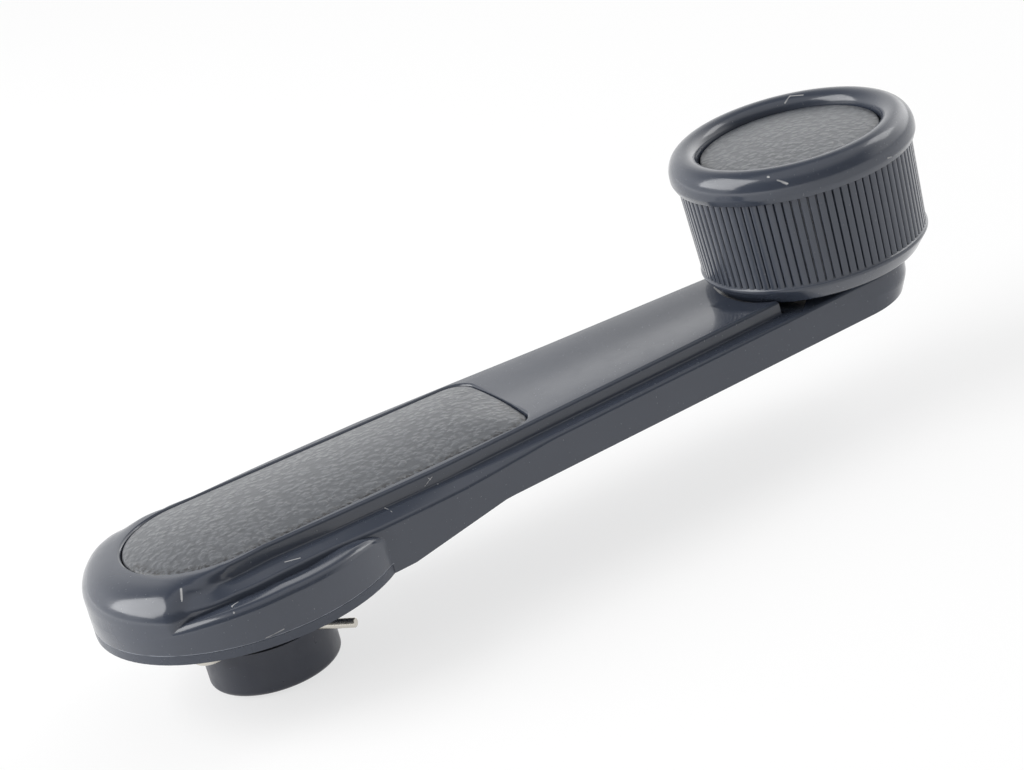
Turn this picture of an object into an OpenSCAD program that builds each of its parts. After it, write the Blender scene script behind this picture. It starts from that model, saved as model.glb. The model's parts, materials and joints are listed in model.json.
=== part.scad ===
// Window crank handle with a turning ribbed knob.
// The origin is the centre of the boss's end face, on the hub axis.
// +Z runs up the hub axis towards the knob, and +X runs along the arm to the knob.

/* [Arm] */
// Distance from the hub axis to the knob axis
arm_reach = 105; // [95:1:120]
// Radius of the arm's round end under the knob
arm_tip_r = 12.2; // [11.6:0.1:13.5]
// Radius of the arm's round hub end
arm_root_r = 19.4; // [18.8:0.1:20]
// How far the centre of that round end lies behind the hub axis
arm_root_back = 4.4; // [3.8:0.1:4.6]
// Rise of the arm's underside above the underside of the hub flange
arm_rise = 2.6; // [2:0.1:3.2]
// Height of the arm's side wall, up to the narrow ledge
side_h = 5.8; // [5.6:0.1:6.6]
// Height of the raised top above that ledge
top_h = 2.2; // [2:0.1:2.8]
// Half width of the raised top beside the hub
top_root_w = 13.6; // [13.4:0.1:14]
// Half width of the raised top near the knob
top_tip_w = 10.2; // [9.8:0.1:10.6]
// Wall thickness of the arm shell
shell_wall = 2.2; // [1.8:0.1:2.4]
// Skin left over the cavity under the grained insert
shell_skin = 2; // [1.7:0.1:2]
// How far the upper part of the tip's end stands out past its foot
tip_bulge = 1; // [0:0.1:1.2]
// Radius of the shallow round step in the arm's top around the knob
seat_r = 20.6; // [20.2:0.1:22]
// Depth of that step
seat_step = 0.4; // [0.3:0.05:0.6]
// Radius of the deeper seat right under the knob
seat_well_r = 17.2; // [17:0.1:17.8]

/* [Hub] */
// Radius of the round hub flange
flange_r = 24; // [23.8:0.1:25]
// Height of the hub flange, back cover and all
flange_h = 6.8; // [6.4:0.1:7.2]
// Radius of the boss
boss_r = 10.2; // [9.8:0.1:10.6]
// How far the boss stands below the hub flange
boss_drop = 13.8; // [12:0.2:16]
// Radius of the splined socket, over the teeth
socket_r = 5.2; // [4.8:0.1:5.3]
// Depth of the splined socket
socket_depth = 12.6; // [11:0.2:14]
// Number of spline grooves
spline_count = 24; // [16:1:26]
// Outer radius of the spline bush
bush_r = 7.8; // [7.4:0.1:8]
// Thickness of the back cover at its rim
cover_t = 1.4; // [1.2:0.1:1.6]

/* [Clip] */
// Diameter of the retaining clip's wire
wire_d = 1.5; // [1.2:0.1:1.6]
// Height of the wire's centre above the boss's end face
clip_z = 7.9; // [6.5:0.1:9]
// Length of each flared end
flare_length = 12.2; // [10:0.2:13]
// Angle of each flared end from the arm's direction
flare_angle = 49; // [40:1:60]

/* [Insert] */
// Length of the insert from the hub axis towards the knob
insert_reach = 46.2; // [42:0.2:47]
// Half width of the insert's round end
insert_root_w = 12.7; // [12.2:0.1:12.9]
// Half width of the insert's square end
insert_tip_w = 12.1; // [11.6:0.1:12.2]
// Corner radius of the square end
insert_corner_r = 4; // [2:0.5:5]
// Thickness of the insert
insert_t = 1.7; // [1.4:0.1:1.9]

/* [Knob] */
// Gap under the knob, above its seat
knob_gap = 1.5; // [1.4:0.1:2]
// Radius of the knob's flat underside
knob_base_r = 16.3; // [15.5:0.1:17]
// Height of the smooth bevelled band under the ribs
knob_base_h = 2.9; // [2.6:0.1:3.4]
// Height of the ribbed band
rib_h = 14.6; // [13.8:0.2:17]
// Radius over the ribs at their lower ends
rib_low_r = 18.3; // [18:0.1:18.6]
// Radius over the ribs at their upper ends
rib_top_r = 18.9; // [18.7:0.1:19.2]
// Number of ribs
rib_count = 88; // [40:1:100]
// Depth of the grooves between the ribs, at their lower ends
groove_depth = 0.9; // [0.6:0.1:1.1]
// Width of each groove
groove_w = 0.46; // [0.36:0.02:0.6]
// Greatest radius of the glossy rim
rim_r = 19.6; // [19.3:0.1:20]
// Height of the glossy rim
rim_h = 5; // [4.6:0.1:5.6]
// Radius of the rim's inner lip
lip_r = 14.9; // [14.4:0.1:15.2]
// Radius of the steel spindle
spindle_r = 4; // [3.6:0.1:4.2]
// Radial clearance of the knob's bearing
bearing_gap = 0.05; // [0.02:0.01:0.08]

/* [Hidden] */
$fn = 96;
fit = 0.05;        // slip between seated pieces
cut = 1;           // how far a cutting shape runs past what it cuts
loose = 0.15;      // play round a dropped-in piece

// Levels of the arm
flange_z = boss_drop;
cover_top_z = flange_z + cover_t;
flange_top_z = flange_z + flange_h;
under_z = flange_z + arm_rise;
ledge_z = under_z + side_h;
top_z = ledge_z + top_h;
seat_z = ledge_z - 0.1;
pocket_z = top_z - 2;
core_t = 2;
core_top_z = pocket_z - shell_skin;
core_z = core_top_z - core_t;
arm_cover_t = 1;
flange_skin = 2.2;

// Underside of the arm drops to the hub between these two places
drop_start_x = 19.5;
drop_end_x = 36.5;

// Arm core and its screws
core_eye_r = 11.5;
core_bar_w = 6.5;
core_tip_r = arm_tip_r - shell_wall - 1;
screw_r = 1.2;
core_screw_x = [0.53 * arm_reach, 0.74 * arm_reach];
core_bite = 2.6;        // how far a core screw runs into the shell
core_head_r = 2.3;
core_head_t = 0.8;
pilot_play = 0.2;       // how much deeper a pilot hole is than its screw
recess_w = 0.4;         // width of the cross recess in a screw's head

// Back cover screws, as [x, y] places
cover_screw_r = 1.1;
cover_head_r = 2.2;
cover_head_t = 0.9;
cover_screw_l = cover_t + 3.8;
pillar_r = 2.6;
arm_pillar_r = pillar_r - 0.4;
cover_screw_hub = [12.5, 12.5];
cover_screw_arm = [44, 9.6];

// Insert pegs
peg_r = 1.2;
peg_y = 9.4;
peg_x = [16, 37];
peg_end_z = core_top_z - 1;

// Bush and boss
bush_flange_r = 9.6;
spline_w = 0.28;
spline_deep = 0.5;
slot_y = socket_r - 0.1;
slot_h = wire_d + 0.1;
clip_y = socket_r + wire_d / 2 + 0.03;

// Levels of the knob
knob_z = seat_z + knob_gap;
rib_z = knob_z + knob_base_h;
rim_z = rib_z + rib_h;
rim_top_z = rim_z + rim_h;
knob_floor_t = 2.5;
knob_wall_r = rib_low_r - groove_depth - 1.5;
hub_sleeve_r = 8;
bearing_r = 6;
thrust_t = 0.8;
thrust_gap = 0.1;
bearing_flange_r = 8.4;
bearing_z = seat_z + thrust_t + thrust_gap;
bearing_flange_top_z = bearing_z + 1.2;
bearing_top_z = rim_z - 3.1;
insert_seat_z = rim_z + 1.3;
disc_t = 1.7;
disc_crown = 0.7;

// Spindle and what holds the knob on it
collar_r = 6.4;
tenon_r = 3.2;
spring_z = bearing_top_z + 0.1;
washer_z = spring_z + 0.95;
washer_t = 0.75;
groove_z = washer_z + washer_t + 0.03;
ring_t = 0.75;
spindle_top_z = groove_z + ring_t + 0.65;

// Points of an arc round [x, y], from angle a to angle b in n steps
function arc(x, y, r, a, b, n) =
    [for (i = [0:n]) [x + r * cos(a + (b - a) * i / n), y + r * sin(a + (b - a) * i / n)]];

// Half of a tapered outline with round ends, on the +Y side, from the hub end to the tip.
// The round ends have radius ra at x = xa and rb at x = xb.
function half_outline(xa, ra, xb, rb, stations) =
    let (s = asin((ra - rb) / (xb - xa)), slope = -tan(s), base = ra / cos(s))
    concat(arc(xa, 0, ra, 178, 90 - s, 14),
        [for (x = stations) [x, base + slope * (x - xa)]],
        arc(xb, 0, rb, 90 - s, 2, 12));

// Whole outline, counter-clockwise
function whole_outline(half) =
    concat([for (p = half) [p[0], -p[1]]], [for (i = [len(half) - 1:-1:0]) half[i]]);

// Places along the straight sides, where the arm's sections stand
arm_stations = concat([6, 12, drop_start_x, 25, 31, drop_end_x],
    [for (i = [1:7]) drop_end_x + (arm_reach - 5 - drop_end_x) * i / 7]);

// Share from 0 at x = a to 1 at x = b, eased at both ends
function ease(x, a, b) =
    let (t = min(1, max(0, (x - a) / (b - a)))) t * t * (3 - 2 * t);

// Height of the underside at x
function under_at(x) =
    x <= drop_start_x ? flange_z :
    x >= drop_end_x ? under_z :
    flange_z + (under_z - flange_z) * (x - drop_start_x) / (drop_end_x - drop_start_x);

// Height of the top edge of the side wall, which falls away round the hub end
function wall_top_at(x) =
    ledge_z - 0.35 - 1.7 * (1 - ease(x, -arm_root_r, -flange_r / 4));

// One level of the arm's outside: half outline, inset from the side wall, with its height
function level(half, z_of) = [for (p = half) [p[0], p[1], z_of(p[0])]];

// Levels of the arm's outside, from the underside up to the top
function arm_levels() =
    let (back = -arm_root_back,
         wall = half_outline(back, arm_root_r, arm_reach, arm_tip_r, arm_stations),
         bulge = half_outline(back, arm_root_r, arm_reach + tip_bulge, arm_tip_r, arm_stations),
         brow = half_outline(back - 0.2, arm_root_r - 0.5, arm_reach + tip_bulge, arm_tip_r - 0.5, arm_stations),
         ledge = half_outline(back - 2.2, top_root_w + 1.4, arm_reach, top_tip_w + 1.3, arm_stations),
         foot = half_outline(back - 2.8, top_root_w, arm_reach, top_tip_w, arm_stations),
         step = half_outline(back - 2, top_root_w - 0.1, arm_reach, top_tip_w - 0.1, arm_stations),
         brink = half_outline(back - 1, top_root_w - 0.4, arm_reach, top_tip_w - 0.4, arm_stations),
         crest = half_outline(back - 0.4, top_root_w - 1.1, arm_reach, top_tip_w - 1.1, arm_stations))
    [level(wall, function (x) under_at(x)),
     level(bulge, function (x) under_at(x) + side_h / 2),
     level(bulge, function (x) wall_top_at(x)),
     level(brow, function (x) wall_top_at(x) + 0.3),
     level(ledge, function (x) ledge_z),
     level(foot, function (x) ledge_z + 0.05 + 0.5 * (1 - ease(x, -20, -4))),
     level(step, function (x) top_z - 1.1 + 0.2 * (1 - ease(x, -20, -4))),
     level(brink, function (x) top_z - 0.35),
     level(crest, function (x) top_z)];

// Closed solid skinned over levels that each hold a half outline with heights
module skinned(levels) {
    n = len(levels[0]);
    m = len(levels);
    loop = 2 * m;
    points = [for (i = [0:n - 1]) each concat(
        [for (k = [0:m - 1]) [levels[k][i][0], -levels[k][i][1], levels[k][i][2]]],
        [for (k = [m - 1:-1:0]) levels[k][i]])];
    sides = [for (i = [0:n - 2]) for (k = [0:loop - 1])
        let (a = i * loop + k, b = i * loop + (k + 1) % loop)
        each [[a, b, b + loop], [a, b + loop, a + loop]]];
    far = (n - 1) * loop;
    ends = [for (k = [0:m - 2])
        each [[loop - 1 - k, loop - 2 - k, k + 1, k],
            [far + k, far + k + 1, far + loop - 2 - k, far + loop - 1 - k]]];
    polyhedron(points = points, faces = concat(sides, ends), convexity = 4);
}

// Upright solid over a half outline, from z = a to z = b
module prism(half, a, b) {
    translate([0, 0, a]) linear_extrude(b - a) polygon(whole_outline(half));
}

// Inside outline of the arm shell, drawn in by gap
function cavity(gap) =
    half_outline(-arm_root_back, arm_root_r - shell_wall - gap,
        arm_reach, arm_tip_r - shell_wall - gap, arm_stations);

// Outline of the insert's pocket, drawn in by gap
function pocket(gap) =
    concat(arc(-arm_root_back, 0, insert_root_w - gap, 179, 90, 16),
        arc(insert_reach - insert_corner_r, insert_tip_w - insert_corner_r,
            insert_corner_r - gap, 90, 12, 6),
        [[insert_reach + 0.35 - gap, 0.2]]);

// Child repeated at +Y and -Y
module pair() {
    children();
    mirror([0, 1, 0]) children();
}

// Child at each back cover screw
module at_cover_screws() {
    pair() translate([-cover_screw_hub[0], cover_screw_hub[1], flange_z]) children(0);
    pair() translate([cover_screw_arm[0], cover_screw_arm[1], under_z]) children(0);
}

// Child at each insert peg
module at_pegs() {
    pair() for (x = peg_x) translate([x, peg_y, 0]) children();
}

// Upright tube round the Z axis
module tube(r_in, r_out, z, h) {
    translate([0, 0, z]) difference() {
        cylinder(r = r_out, h = h);
        translate([0, 0, -cut]) cylinder(r = r_in, h = h + 2 * cut);
    }
}

// Round hub flange with its softly rounded upper edge
module flange_body() {
    round_r = 2.6;
    rotate_extrude() polygon(concat([[0, cover_top_z], [flange_r, cover_top_z]],
        arc(flange_r - round_r, flange_top_z - round_r, round_r, 0, 90, 8),
        [[0, flange_top_z]]));
}

module arm_shell() {
    color([0.30, 0.32, 0.35]) difference() {
        union() {
            flange_body();
            difference() {
                skinned(arm_levels());
                translate([0, 0, flange_z - cut]) cylinder(r = flange_r + fit, h = cover_t + cut);
            }
        }
        // Cavities of the arm and of the flange
        difference() {
            union() {
                prism(cavity(0), flange_z - cut, core_top_z);
                translate([0, 0, cover_top_z - cut])
                    cylinder(r = flange_r - shell_wall, h = flange_h - cover_t - flange_skin + cut);
            }
            pair() translate([-cover_screw_hub[0], cover_screw_hub[1], cover_top_z])
                cylinder(r = pillar_r, h = core_top_z);
            pair() translate([cover_screw_arm[0], cover_screw_arm[1], under_z + arm_cover_t])
                cylinder(r = arm_pillar_r, h = core_top_z);
        }
        // Pocket for the insert, holes for its pegs and seat for the knob
        prism(pocket(0), pocket_z, top_z + cut);
        at_pegs() translate([0, 0, core_top_z - cut]) cylinder(r = peg_r + loose, h = shell_skin + 2 * cut);
        translate([arm_reach, 0, seat_z]) cylinder(r = seat_well_r, h = top_h + 2 * cut);
        translate([arm_reach, 0, top_z - seat_step]) cylinder(r = seat_r, h = seat_step + cut);
        translate([arm_reach, 0, core_top_z - cut]) cylinder(r = collar_r + loose, h = side_h);
        // Pilot holes of the screws
        for (x = core_screw_x) translate([x, 0, core_top_z - cut]) cylinder(r = screw_r, h = cut + core_bite + pilot_play);
        at_cover_screws() cylinder(r = cover_screw_r, h = cover_screw_l + pilot_play);
    }
}

module arm_insert() {
    rim = 0.35;
    color([0.33, 0.34, 0.36]) {
        prism(pocket(loose), pocket_z, pocket_z + insert_t - rim);
        prism(pocket(loose + rim), pocket_z + insert_t - rim - 0.01, pocket_z + insert_t);
        at_pegs() translate([0, 0, peg_end_z]) cylinder(r = peg_r, h = pocket_z - peg_end_z + 0.1);
    }
}

module insert_clips() {
    color([0.62, 0.62, 0.60]) at_pegs() tube(peg_r + 0.02, 2.8, core_top_z - 0.5, 0.45);
}

// Cross recess cut up into a screw's head from z = 0, with arms of the given reach
module cross_recess(reach) {
    for (turn = [0, 90]) rotate(turn)
        translate([-reach, -recess_w / 2, -cut]) cube([2 * reach, recess_w, cut + recess_w]);
}

module arm_core() {
    color([0.55, 0.56, 0.57]) difference() {
        translate([0, 0, core_z]) union() {
            cylinder(r = core_eye_r, h = core_t);
            translate([0, -core_bar_w, 0]) cube([arm_reach, 2 * core_bar_w, core_t]);
            translate([arm_reach, 0, 0]) cylinder(r = core_tip_r, h = core_t);
        }
        translate([0, 0, core_z - cut]) cylinder(r = bush_r + fit, h = core_t + 2 * cut);
        translate([arm_reach, 0, core_z - cut]) cylinder(r = tenon_r + fit, h = core_t + 2 * cut);
        for (x = core_screw_x) translate([x, 0, core_z - cut])
            cylinder(r = screw_r + loose, h = core_t + 2 * cut);
    }
}

module core_screws() {
    color([0.66, 0.66, 0.64]) for (x = core_screw_x) translate([x, 0, core_z]) difference() {
        union() {
            translate([0, 0, -core_head_t]) cylinder(r = core_head_r, h = core_head_t);
            cylinder(r = screw_r - 0.02, h = core_t + core_bite);
        }
        translate([0, 0, -core_head_t]) cross_recess(core_head_r - 1);
    }
}

module back_cover() {
    color([0.26, 0.28, 0.30]) difference() {
        union() {
            translate([0, 0, flange_z]) cylinder(r = flange_r, h = cover_t);
            // Plate that closes the arm, bent where the underside drops
            intersection() {
                prism(cavity(loose), flange_z - cut, core_z);
                translate([0, flange_r, 0]) rotate([90, 0, 0]) linear_extrude(2 * flange_r)
                    polygon([[0, flange_z], [drop_start_x, flange_z], [drop_end_x, under_z],
                        [arm_reach + flange_r, under_z], [arm_reach + flange_r, under_z + arm_cover_t],
                        [drop_end_x, under_z + arm_cover_t], [drop_start_x, cover_top_z],
                        [0, cover_top_z]]);
            }
        }
        translate([0, 0, flange_z - cut]) cylinder(r = boss_r + fit, h = cover_t + 2 * cut);
        at_cover_screws() translate([0, 0, -0.01]) {
            cylinder(r1 = cover_head_r + fit, r2 = cover_screw_r + fit, h = cover_head_t);
            cylinder(r = cover_screw_r + fit, h = cover_screw_l);
        }
    }
}

module cover_screws() {
    color([0.16, 0.16, 0.17]) at_cover_screws() difference() {
        union() {
            cylinder(r1 = cover_head_r, r2 = cover_screw_r - 0.02, h = cover_head_t);
            cylinder(r = cover_screw_r - 0.02, h = cover_screw_l);
        }
        cross_recess(cover_head_r - 1);
    }
}

// The two cuts across boss and bush that the clip's legs lie in
module clip_slots() {
    pair() translate([-boss_r - cut, slot_y, clip_z - slot_h / 2])
        cube([2 * (boss_r + cut), boss_r + cut - slot_y, slot_h]);
}

module hub_boss() {
    edge_r = 0.9;
    color([0.20, 0.21, 0.23]) difference() {
        rotate_extrude() polygon(concat([[bush_r + fit, 0]],
            arc(boss_r - edge_r, edge_r, edge_r, -90, 0, 6),
            [[boss_r, cover_top_z + 0.2], [bush_r + fit, cover_top_z + 0.2]]));
        clip_slots();
    }
}

module spline_bush() {
    color([0.60, 0.60, 0.58]) difference() {
        union() {
            cylinder(r = bush_r, h = core_top_z);
            translate([0, 0, cover_top_z + 0.2])
                cylinder(r = bush_flange_r, h = core_z - cover_top_z - 0.2);
        }
        translate([0, 0, -cut]) cylinder(r = socket_r, h = socket_depth + cut);
        for (i = [0:spline_count - 1]) rotate(i * 360 / spline_count)
            translate([0, 0, -cut]) linear_extrude(socket_depth + cut)
                polygon([[socket_r - 0.2, -spline_w / 2], [socket_r, -spline_w / 2],
                    [socket_r + spline_deep, 0], [socket_r, spline_w / 2],
                    [socket_r - 0.2, spline_w / 2]]);
        clip_slots();
    }
}

// Centre line of half the clip on the +Y side, from the back of its loop to its flared end
clip_back_x = -boss_r - 2.2;
clip_corner_r = 2.2;
clip_bend_r = 2;
clip_bend_x = 0.8;
function clip_half() =
    let (t = clip_bend_r * tan(flare_angle / 2))
    concat([[clip_back_x, 0]],
        arc(clip_back_x + clip_corner_r, clip_y - clip_corner_r, clip_corner_r, 180, 90, 6),
        arc(clip_bend_x - t, clip_y + clip_bend_r, clip_bend_r, -90, -90 + flare_angle, 5),
        [[clip_bend_x + flare_length * cos(flare_angle), clip_y + flare_length * sin(flare_angle)]]);

// Round wire along a level path, with its end faces square to it
module wire(path, r, sides) {
    n = len(path);
    function heading(i) =
        let (a = path[max(0, i - 1)], b = path[min(n - 1, i + 1)])
        atan2(b[1] - a[1], b[0] - a[0]);
    points = [for (i = [0:n - 1]) for (k = [0:sides - 1])
        let (a = 360 * k / sides, h = heading(i))
        [path[i][0] - r * cos(a) * sin(h), path[i][1] + r * cos(a) * cos(h), r * sin(a)]];
    skin = [for (i = [0:n - 2]) for (k = [0:sides - 1])
        let (a = i * sides + k, b = i * sides + (k + 1) % sides)
        each [[a, b + sides, b], [a, a + sides, b + sides]]];
    ends = [[for (k = [0:sides - 1]) k], [for (k = [sides - 1:-1:0]) (n - 1) * sides + k]];
    polyhedron(points = points, faces = concat(skin, ends), convexity = 6);
}

module retaining_clip() {
    half = clip_half();
    n = len(half);
    path = concat([for (i = [n - 1:-1:1]) [half[i][0], -half[i][1]]], half);
    color([0.72, 0.71, 0.68]) translate([0, 0, clip_z]) wire(path, wire_d / 2, 14);
}

module knob_spindle() {
    color([0.62, 0.63, 0.64]) translate([arm_reach, 0, 0]) difference() {
        union() {
            translate([0, 0, core_z - 0.7]) cylinder(r1 = tenon_r, r2 = tenon_r + 1, h = 0.7);
            translate([0, 0, core_z]) cylinder(r = tenon_r, h = core_t);
            translate([0, 0, core_top_z]) cylinder(r = collar_r, h = seat_z - core_top_z);
            translate([0, 0, seat_z]) cylinder(r = spindle_r, h = spindle_top_z - seat_z - 0.4);
            translate([0, 0, spindle_top_z - 0.4])
                cylinder(r1 = spindle_r, r2 = spindle_r - 0.4, h = 0.4);
        }
        tube(spindle_r - 0.65, spindle_r + cut, groove_z, ring_t + 0.04);
    }
}

module thrust_washer() {
    color([0.86, 0.85, 0.80]) translate([arm_reach, 0, 0])
        tube(spindle_r + loose, bearing_flange_r + 0.4, seat_z, thrust_t);
}

module knob_bush() {
    bore_r = spindle_r + bearing_gap;
    color([0.88, 0.87, 0.82]) translate([arm_reach, 0, 0]) rotate_extrude()
        polygon([[bore_r, bearing_z], [bearing_flange_r, bearing_z],
            [bearing_flange_r, bearing_flange_top_z], [bearing_r, bearing_flange_top_z],
            [bearing_r, bearing_top_z], [bore_r, bearing_top_z]]);
}

// One groove's cross-section, widening outwards past the ribs
module groove_shape() {
    floor_r = rib_low_r - groove_depth;
    polygon([[floor_r, -groove_w * 0.36], [rim_r + cut, -groove_w / 2 - 0.03],
        [rim_r + cut, groove_w / 2 + 0.03], [floor_r, groove_w * 0.36]]);
}

module knob_body() {
    sleeve_bore = bearing_r + fit;
    color([0.30, 0.32, 0.35]) translate([arm_reach, 0, 0]) difference() {
        rotate_extrude() polygon([[sleeve_bore, bearing_flange_top_z + fit],
            [bearing_flange_r + loose, bearing_flange_top_z + fit], [bearing_flange_r + loose, knob_z],
            [knob_base_r - 0.5, knob_z], [knob_base_r, knob_z + 0.2],
            [rib_low_r - 0.35, rib_z - 0.6], [rib_low_r, rib_z],
            [rib_top_r, rim_z], [knob_wall_r, rim_z], [knob_wall_r, knob_z + knob_floor_t],
            [hub_sleeve_r, knob_z + knob_floor_t], [hub_sleeve_r, bearing_top_z - 0.1],
            [sleeve_bore, bearing_top_z - 0.1]]);
        translate([0, 0, rib_z]) linear_extrude(rib_h + cut)
            for (i = [0:rib_count - 1]) rotate(i * 360 / rib_count) groove_shape();
    }
}

module knob_cap() {
    spigot_r = knob_wall_r - 0.1;
    crest_r = (rim_r + lip_r) / 2 - 0.35;
    color([0.30, 0.32, 0.35]) translate([arm_reach, 0, 0]) rotate_extrude()
        polygon(concat([[spigot_r - 1.5, rim_z - 2.5], [spigot_r, rim_z - 2.5], [spigot_r, rim_z],
            [rib_top_r + 0.2, rim_z], [rib_top_r + 0.45, rim_z + 0.5], [rim_r, rim_z + 1.7]],
            [for (a = [12:12:90]) [crest_r + (rim_r - crest_r) * cos(a), rim_z + 1.9 + (rim_h - 1.9) * sin(a)]],
            [[crest_r - 0.9, rim_top_z - 0.12], [lip_r + 0.3, rim_top_z - 0.5], [lip_r, rim_top_z - 0.8],
            [lip_r - 0.35, rim_top_z - 2.2], [lip_r - 0.4, insert_seat_z], [lip_r - 2.4, insert_seat_z],
            [lip_r - 2.4, rim_z], [spigot_r - 1.5, rim_z]]));
}

module knob_insert() {
    edge_r = lip_r - 0.4 - loose;
    color([0.33, 0.34, 0.36]) translate([arm_reach, 0, 0]) rotate_extrude()
        polygon(concat([[0, insert_seat_z], [edge_r, insert_seat_z],
            [edge_r, insert_seat_z + disc_t - 0.3]],
            [for (i = [0:6]) let (r = (edge_r - 0.3) * (1 - i / 6))
                [r, insert_seat_z + disc_t + disc_crown * (1 - pow(r / edge_r, 2))]]));
}

module spring_washer() {
    r_in = spindle_r + 0.3;
    r_out = bearing_r + 1.4;
    color([0.60, 0.60, 0.60]) translate([arm_reach, 0, 0]) rotate_extrude()
        polygon([[r_out, spring_z], [r_out, spring_z + 0.4], [r_in, washer_z - 0.02],
            [r_in, washer_z - 0.42]]);
}

module retaining_washer() {
    color([0.64, 0.64, 0.63]) translate([arm_reach, 0, 0])
        tube(spindle_r + 0.1, bearing_r + 1.6, washer_z, washer_t);
}

module circlip() {
    color([0.45, 0.45, 0.47]) translate([arm_reach, 0, 0]) difference() {
        tube(spindle_r - 0.6, spindle_r + 2.4, groove_z + 0.02, ring_t);
        translate([0, -1.6, groove_z - cut]) cube([spindle_r + 2.4 + cut, 3.2, ring_t + 2 * cut]);
        for (turn = [120, 240]) rotate(turn) translate([spindle_r + 1.2, 0, groove_z - cut])
            cylinder(r = 0.5, h = ring_t + 2 * cut);
    }
}

arm_shell();
arm_insert();
insert_clips();
arm_core();
core_screws();
back_cover();
cover_screws();
hub_boss();
spline_bush();
retaining_clip();
knob_spindle();
thrust_washer();
knob_bush();
knob_body();
knob_cap();
knob_insert();
spring_washer();
retaining_washer();
circlip();
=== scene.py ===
"""Window crank handle: moulded arm, grained insert, splined hub with a wire clip, and ribbed knob."""

import json
import logging
import math
from dataclasses import dataclass
from enum import Enum
from typing import Callable, Iterable, Optional, Sequence, Union

import bmesh
import bpy
from mathutils import Matrix, Vector
from mathutils.bvhtree import BVHTree


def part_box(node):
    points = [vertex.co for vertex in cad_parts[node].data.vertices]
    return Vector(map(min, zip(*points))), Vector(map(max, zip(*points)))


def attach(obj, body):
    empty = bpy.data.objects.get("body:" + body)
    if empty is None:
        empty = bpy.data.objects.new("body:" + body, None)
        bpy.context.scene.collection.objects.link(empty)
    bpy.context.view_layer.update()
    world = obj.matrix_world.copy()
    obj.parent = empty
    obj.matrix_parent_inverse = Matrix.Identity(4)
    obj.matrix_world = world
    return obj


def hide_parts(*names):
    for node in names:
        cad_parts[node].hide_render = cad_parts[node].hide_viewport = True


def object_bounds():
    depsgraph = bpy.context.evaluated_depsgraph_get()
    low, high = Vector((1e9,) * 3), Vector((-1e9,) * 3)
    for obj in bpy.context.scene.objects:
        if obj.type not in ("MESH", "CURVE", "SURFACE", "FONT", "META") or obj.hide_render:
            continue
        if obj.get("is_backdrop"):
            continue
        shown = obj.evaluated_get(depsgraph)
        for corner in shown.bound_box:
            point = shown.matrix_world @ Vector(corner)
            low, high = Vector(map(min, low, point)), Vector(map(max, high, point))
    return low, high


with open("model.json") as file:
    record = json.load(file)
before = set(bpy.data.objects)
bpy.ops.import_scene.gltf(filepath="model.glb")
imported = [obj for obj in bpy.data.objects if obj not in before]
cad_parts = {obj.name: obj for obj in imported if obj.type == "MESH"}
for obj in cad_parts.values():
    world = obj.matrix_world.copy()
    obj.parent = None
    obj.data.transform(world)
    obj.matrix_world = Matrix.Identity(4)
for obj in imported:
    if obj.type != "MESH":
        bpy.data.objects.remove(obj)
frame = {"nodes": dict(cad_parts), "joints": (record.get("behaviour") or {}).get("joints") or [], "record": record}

LOG = logging.getLogger("crank")
MM = 0.001
MERGE_M = 1e-7
ON_AXIS_MM = 1e-6
STRAIGHT_RAD = 0.01
SHORT_RUN_MM = 0.02
RUN_SHARE = 0.49
COVER_T = 1.4
KNOB_X = next(j for j in frame["joints"] if j["name"] == "knob_spin")["pos_m"][0] / MM
Point2 = tuple[float, float]
Point3 = tuple[float, float, float]
Corner = tuple[float, float, float]
Colour = tuple[float, float, float]
Stops = tuple[Point2, ...]
Value = Union[bpy.types.NodeSocket, Vector, tuple, float]


def ease(value: float, low: float, high: float) -> float:
    """Share of the way from low to high, eased at both ends.

    Args:
        value: Where to take the share.
        low: Where the share is 0.
        high: Where the share is 1.

    Returns:
        A number from 0 to 1.
    """
    t = min(1.0, max(0.0, (value - low) / (high - low)))
    return t * t * (3.0 - 2.0 * t)


def lerp(a: float, b: float, t: float) -> float:
    """Number a share t of the way from a to b."""
    return a + (b - a) * t


def along(x: float, stops: Sequence[Point2]) -> float:
    """Value at x on a line drawn through stops, level beyond both ends.

    Args:
        x: Where to read the line.
        stops: Pairs of place and value, in rising order of place.

    Returns:
        The value there.
    """
    if x <= stops[0][0]:
        return stops[0][1]
    for (x0, v0), (x1, v1) in zip(stops, stops[1:]):
        if x <= x1:
            return lerp(v0, v1, (x - x0) / (x1 - x0))
    return stops[-1][1]


def rounded(corners: Sequence[Corner], steps: int = 6) -> list[Point2]:
    """Path through corners, each of them rounded by its own radius.

    Args:
        corners: Each corner as two coordinates and a radius, where 0 keeps it sharp.
        steps: Pieces in each rounding.

    Returns:
        The points of the path. A sharp corner gives one point, and any other steps + 1.
    """
    path: list[Point2] = []
    for i, (x, y, radius) in enumerate(corners):
        if radius <= 0 or i in (0, len(corners) - 1):
            path.append((x, y))
            continue
        here = Vector((x, y))
        before = Vector(corners[i - 1][:2]) - here
        after = Vector(corners[i + 1][:2]) - here
        half = before.angle(after) / 2
        if math.pi / 2 - half < STRAIGHT_RAD:
            for k in range(steps + 1):
                share = 2 * k / steps - 1
                run = (before if share < 0 else after).normalized()
                path.append(tuple(here + run * abs(share) * SHORT_RUN_MM))
            continue
        reach = min(radius / math.tan(half), before.length * RUN_SHARE, after.length * RUN_SHARE)
        radius = reach * math.tan(half)
        centre = here + (before.normalized() + after.normalized()).normalized() * radius / math.sin(half)
        start = here + before.normalized() * reach - centre
        turn = start.angle_signed(here + after.normalized() * reach - centre)
        for k in range(steps + 1):
            spoke = start.copy()
            spoke.rotate(Matrix.Rotation(-turn * k / steps, 2))
            path.append(tuple(centre + spoke))
    return path


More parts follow.
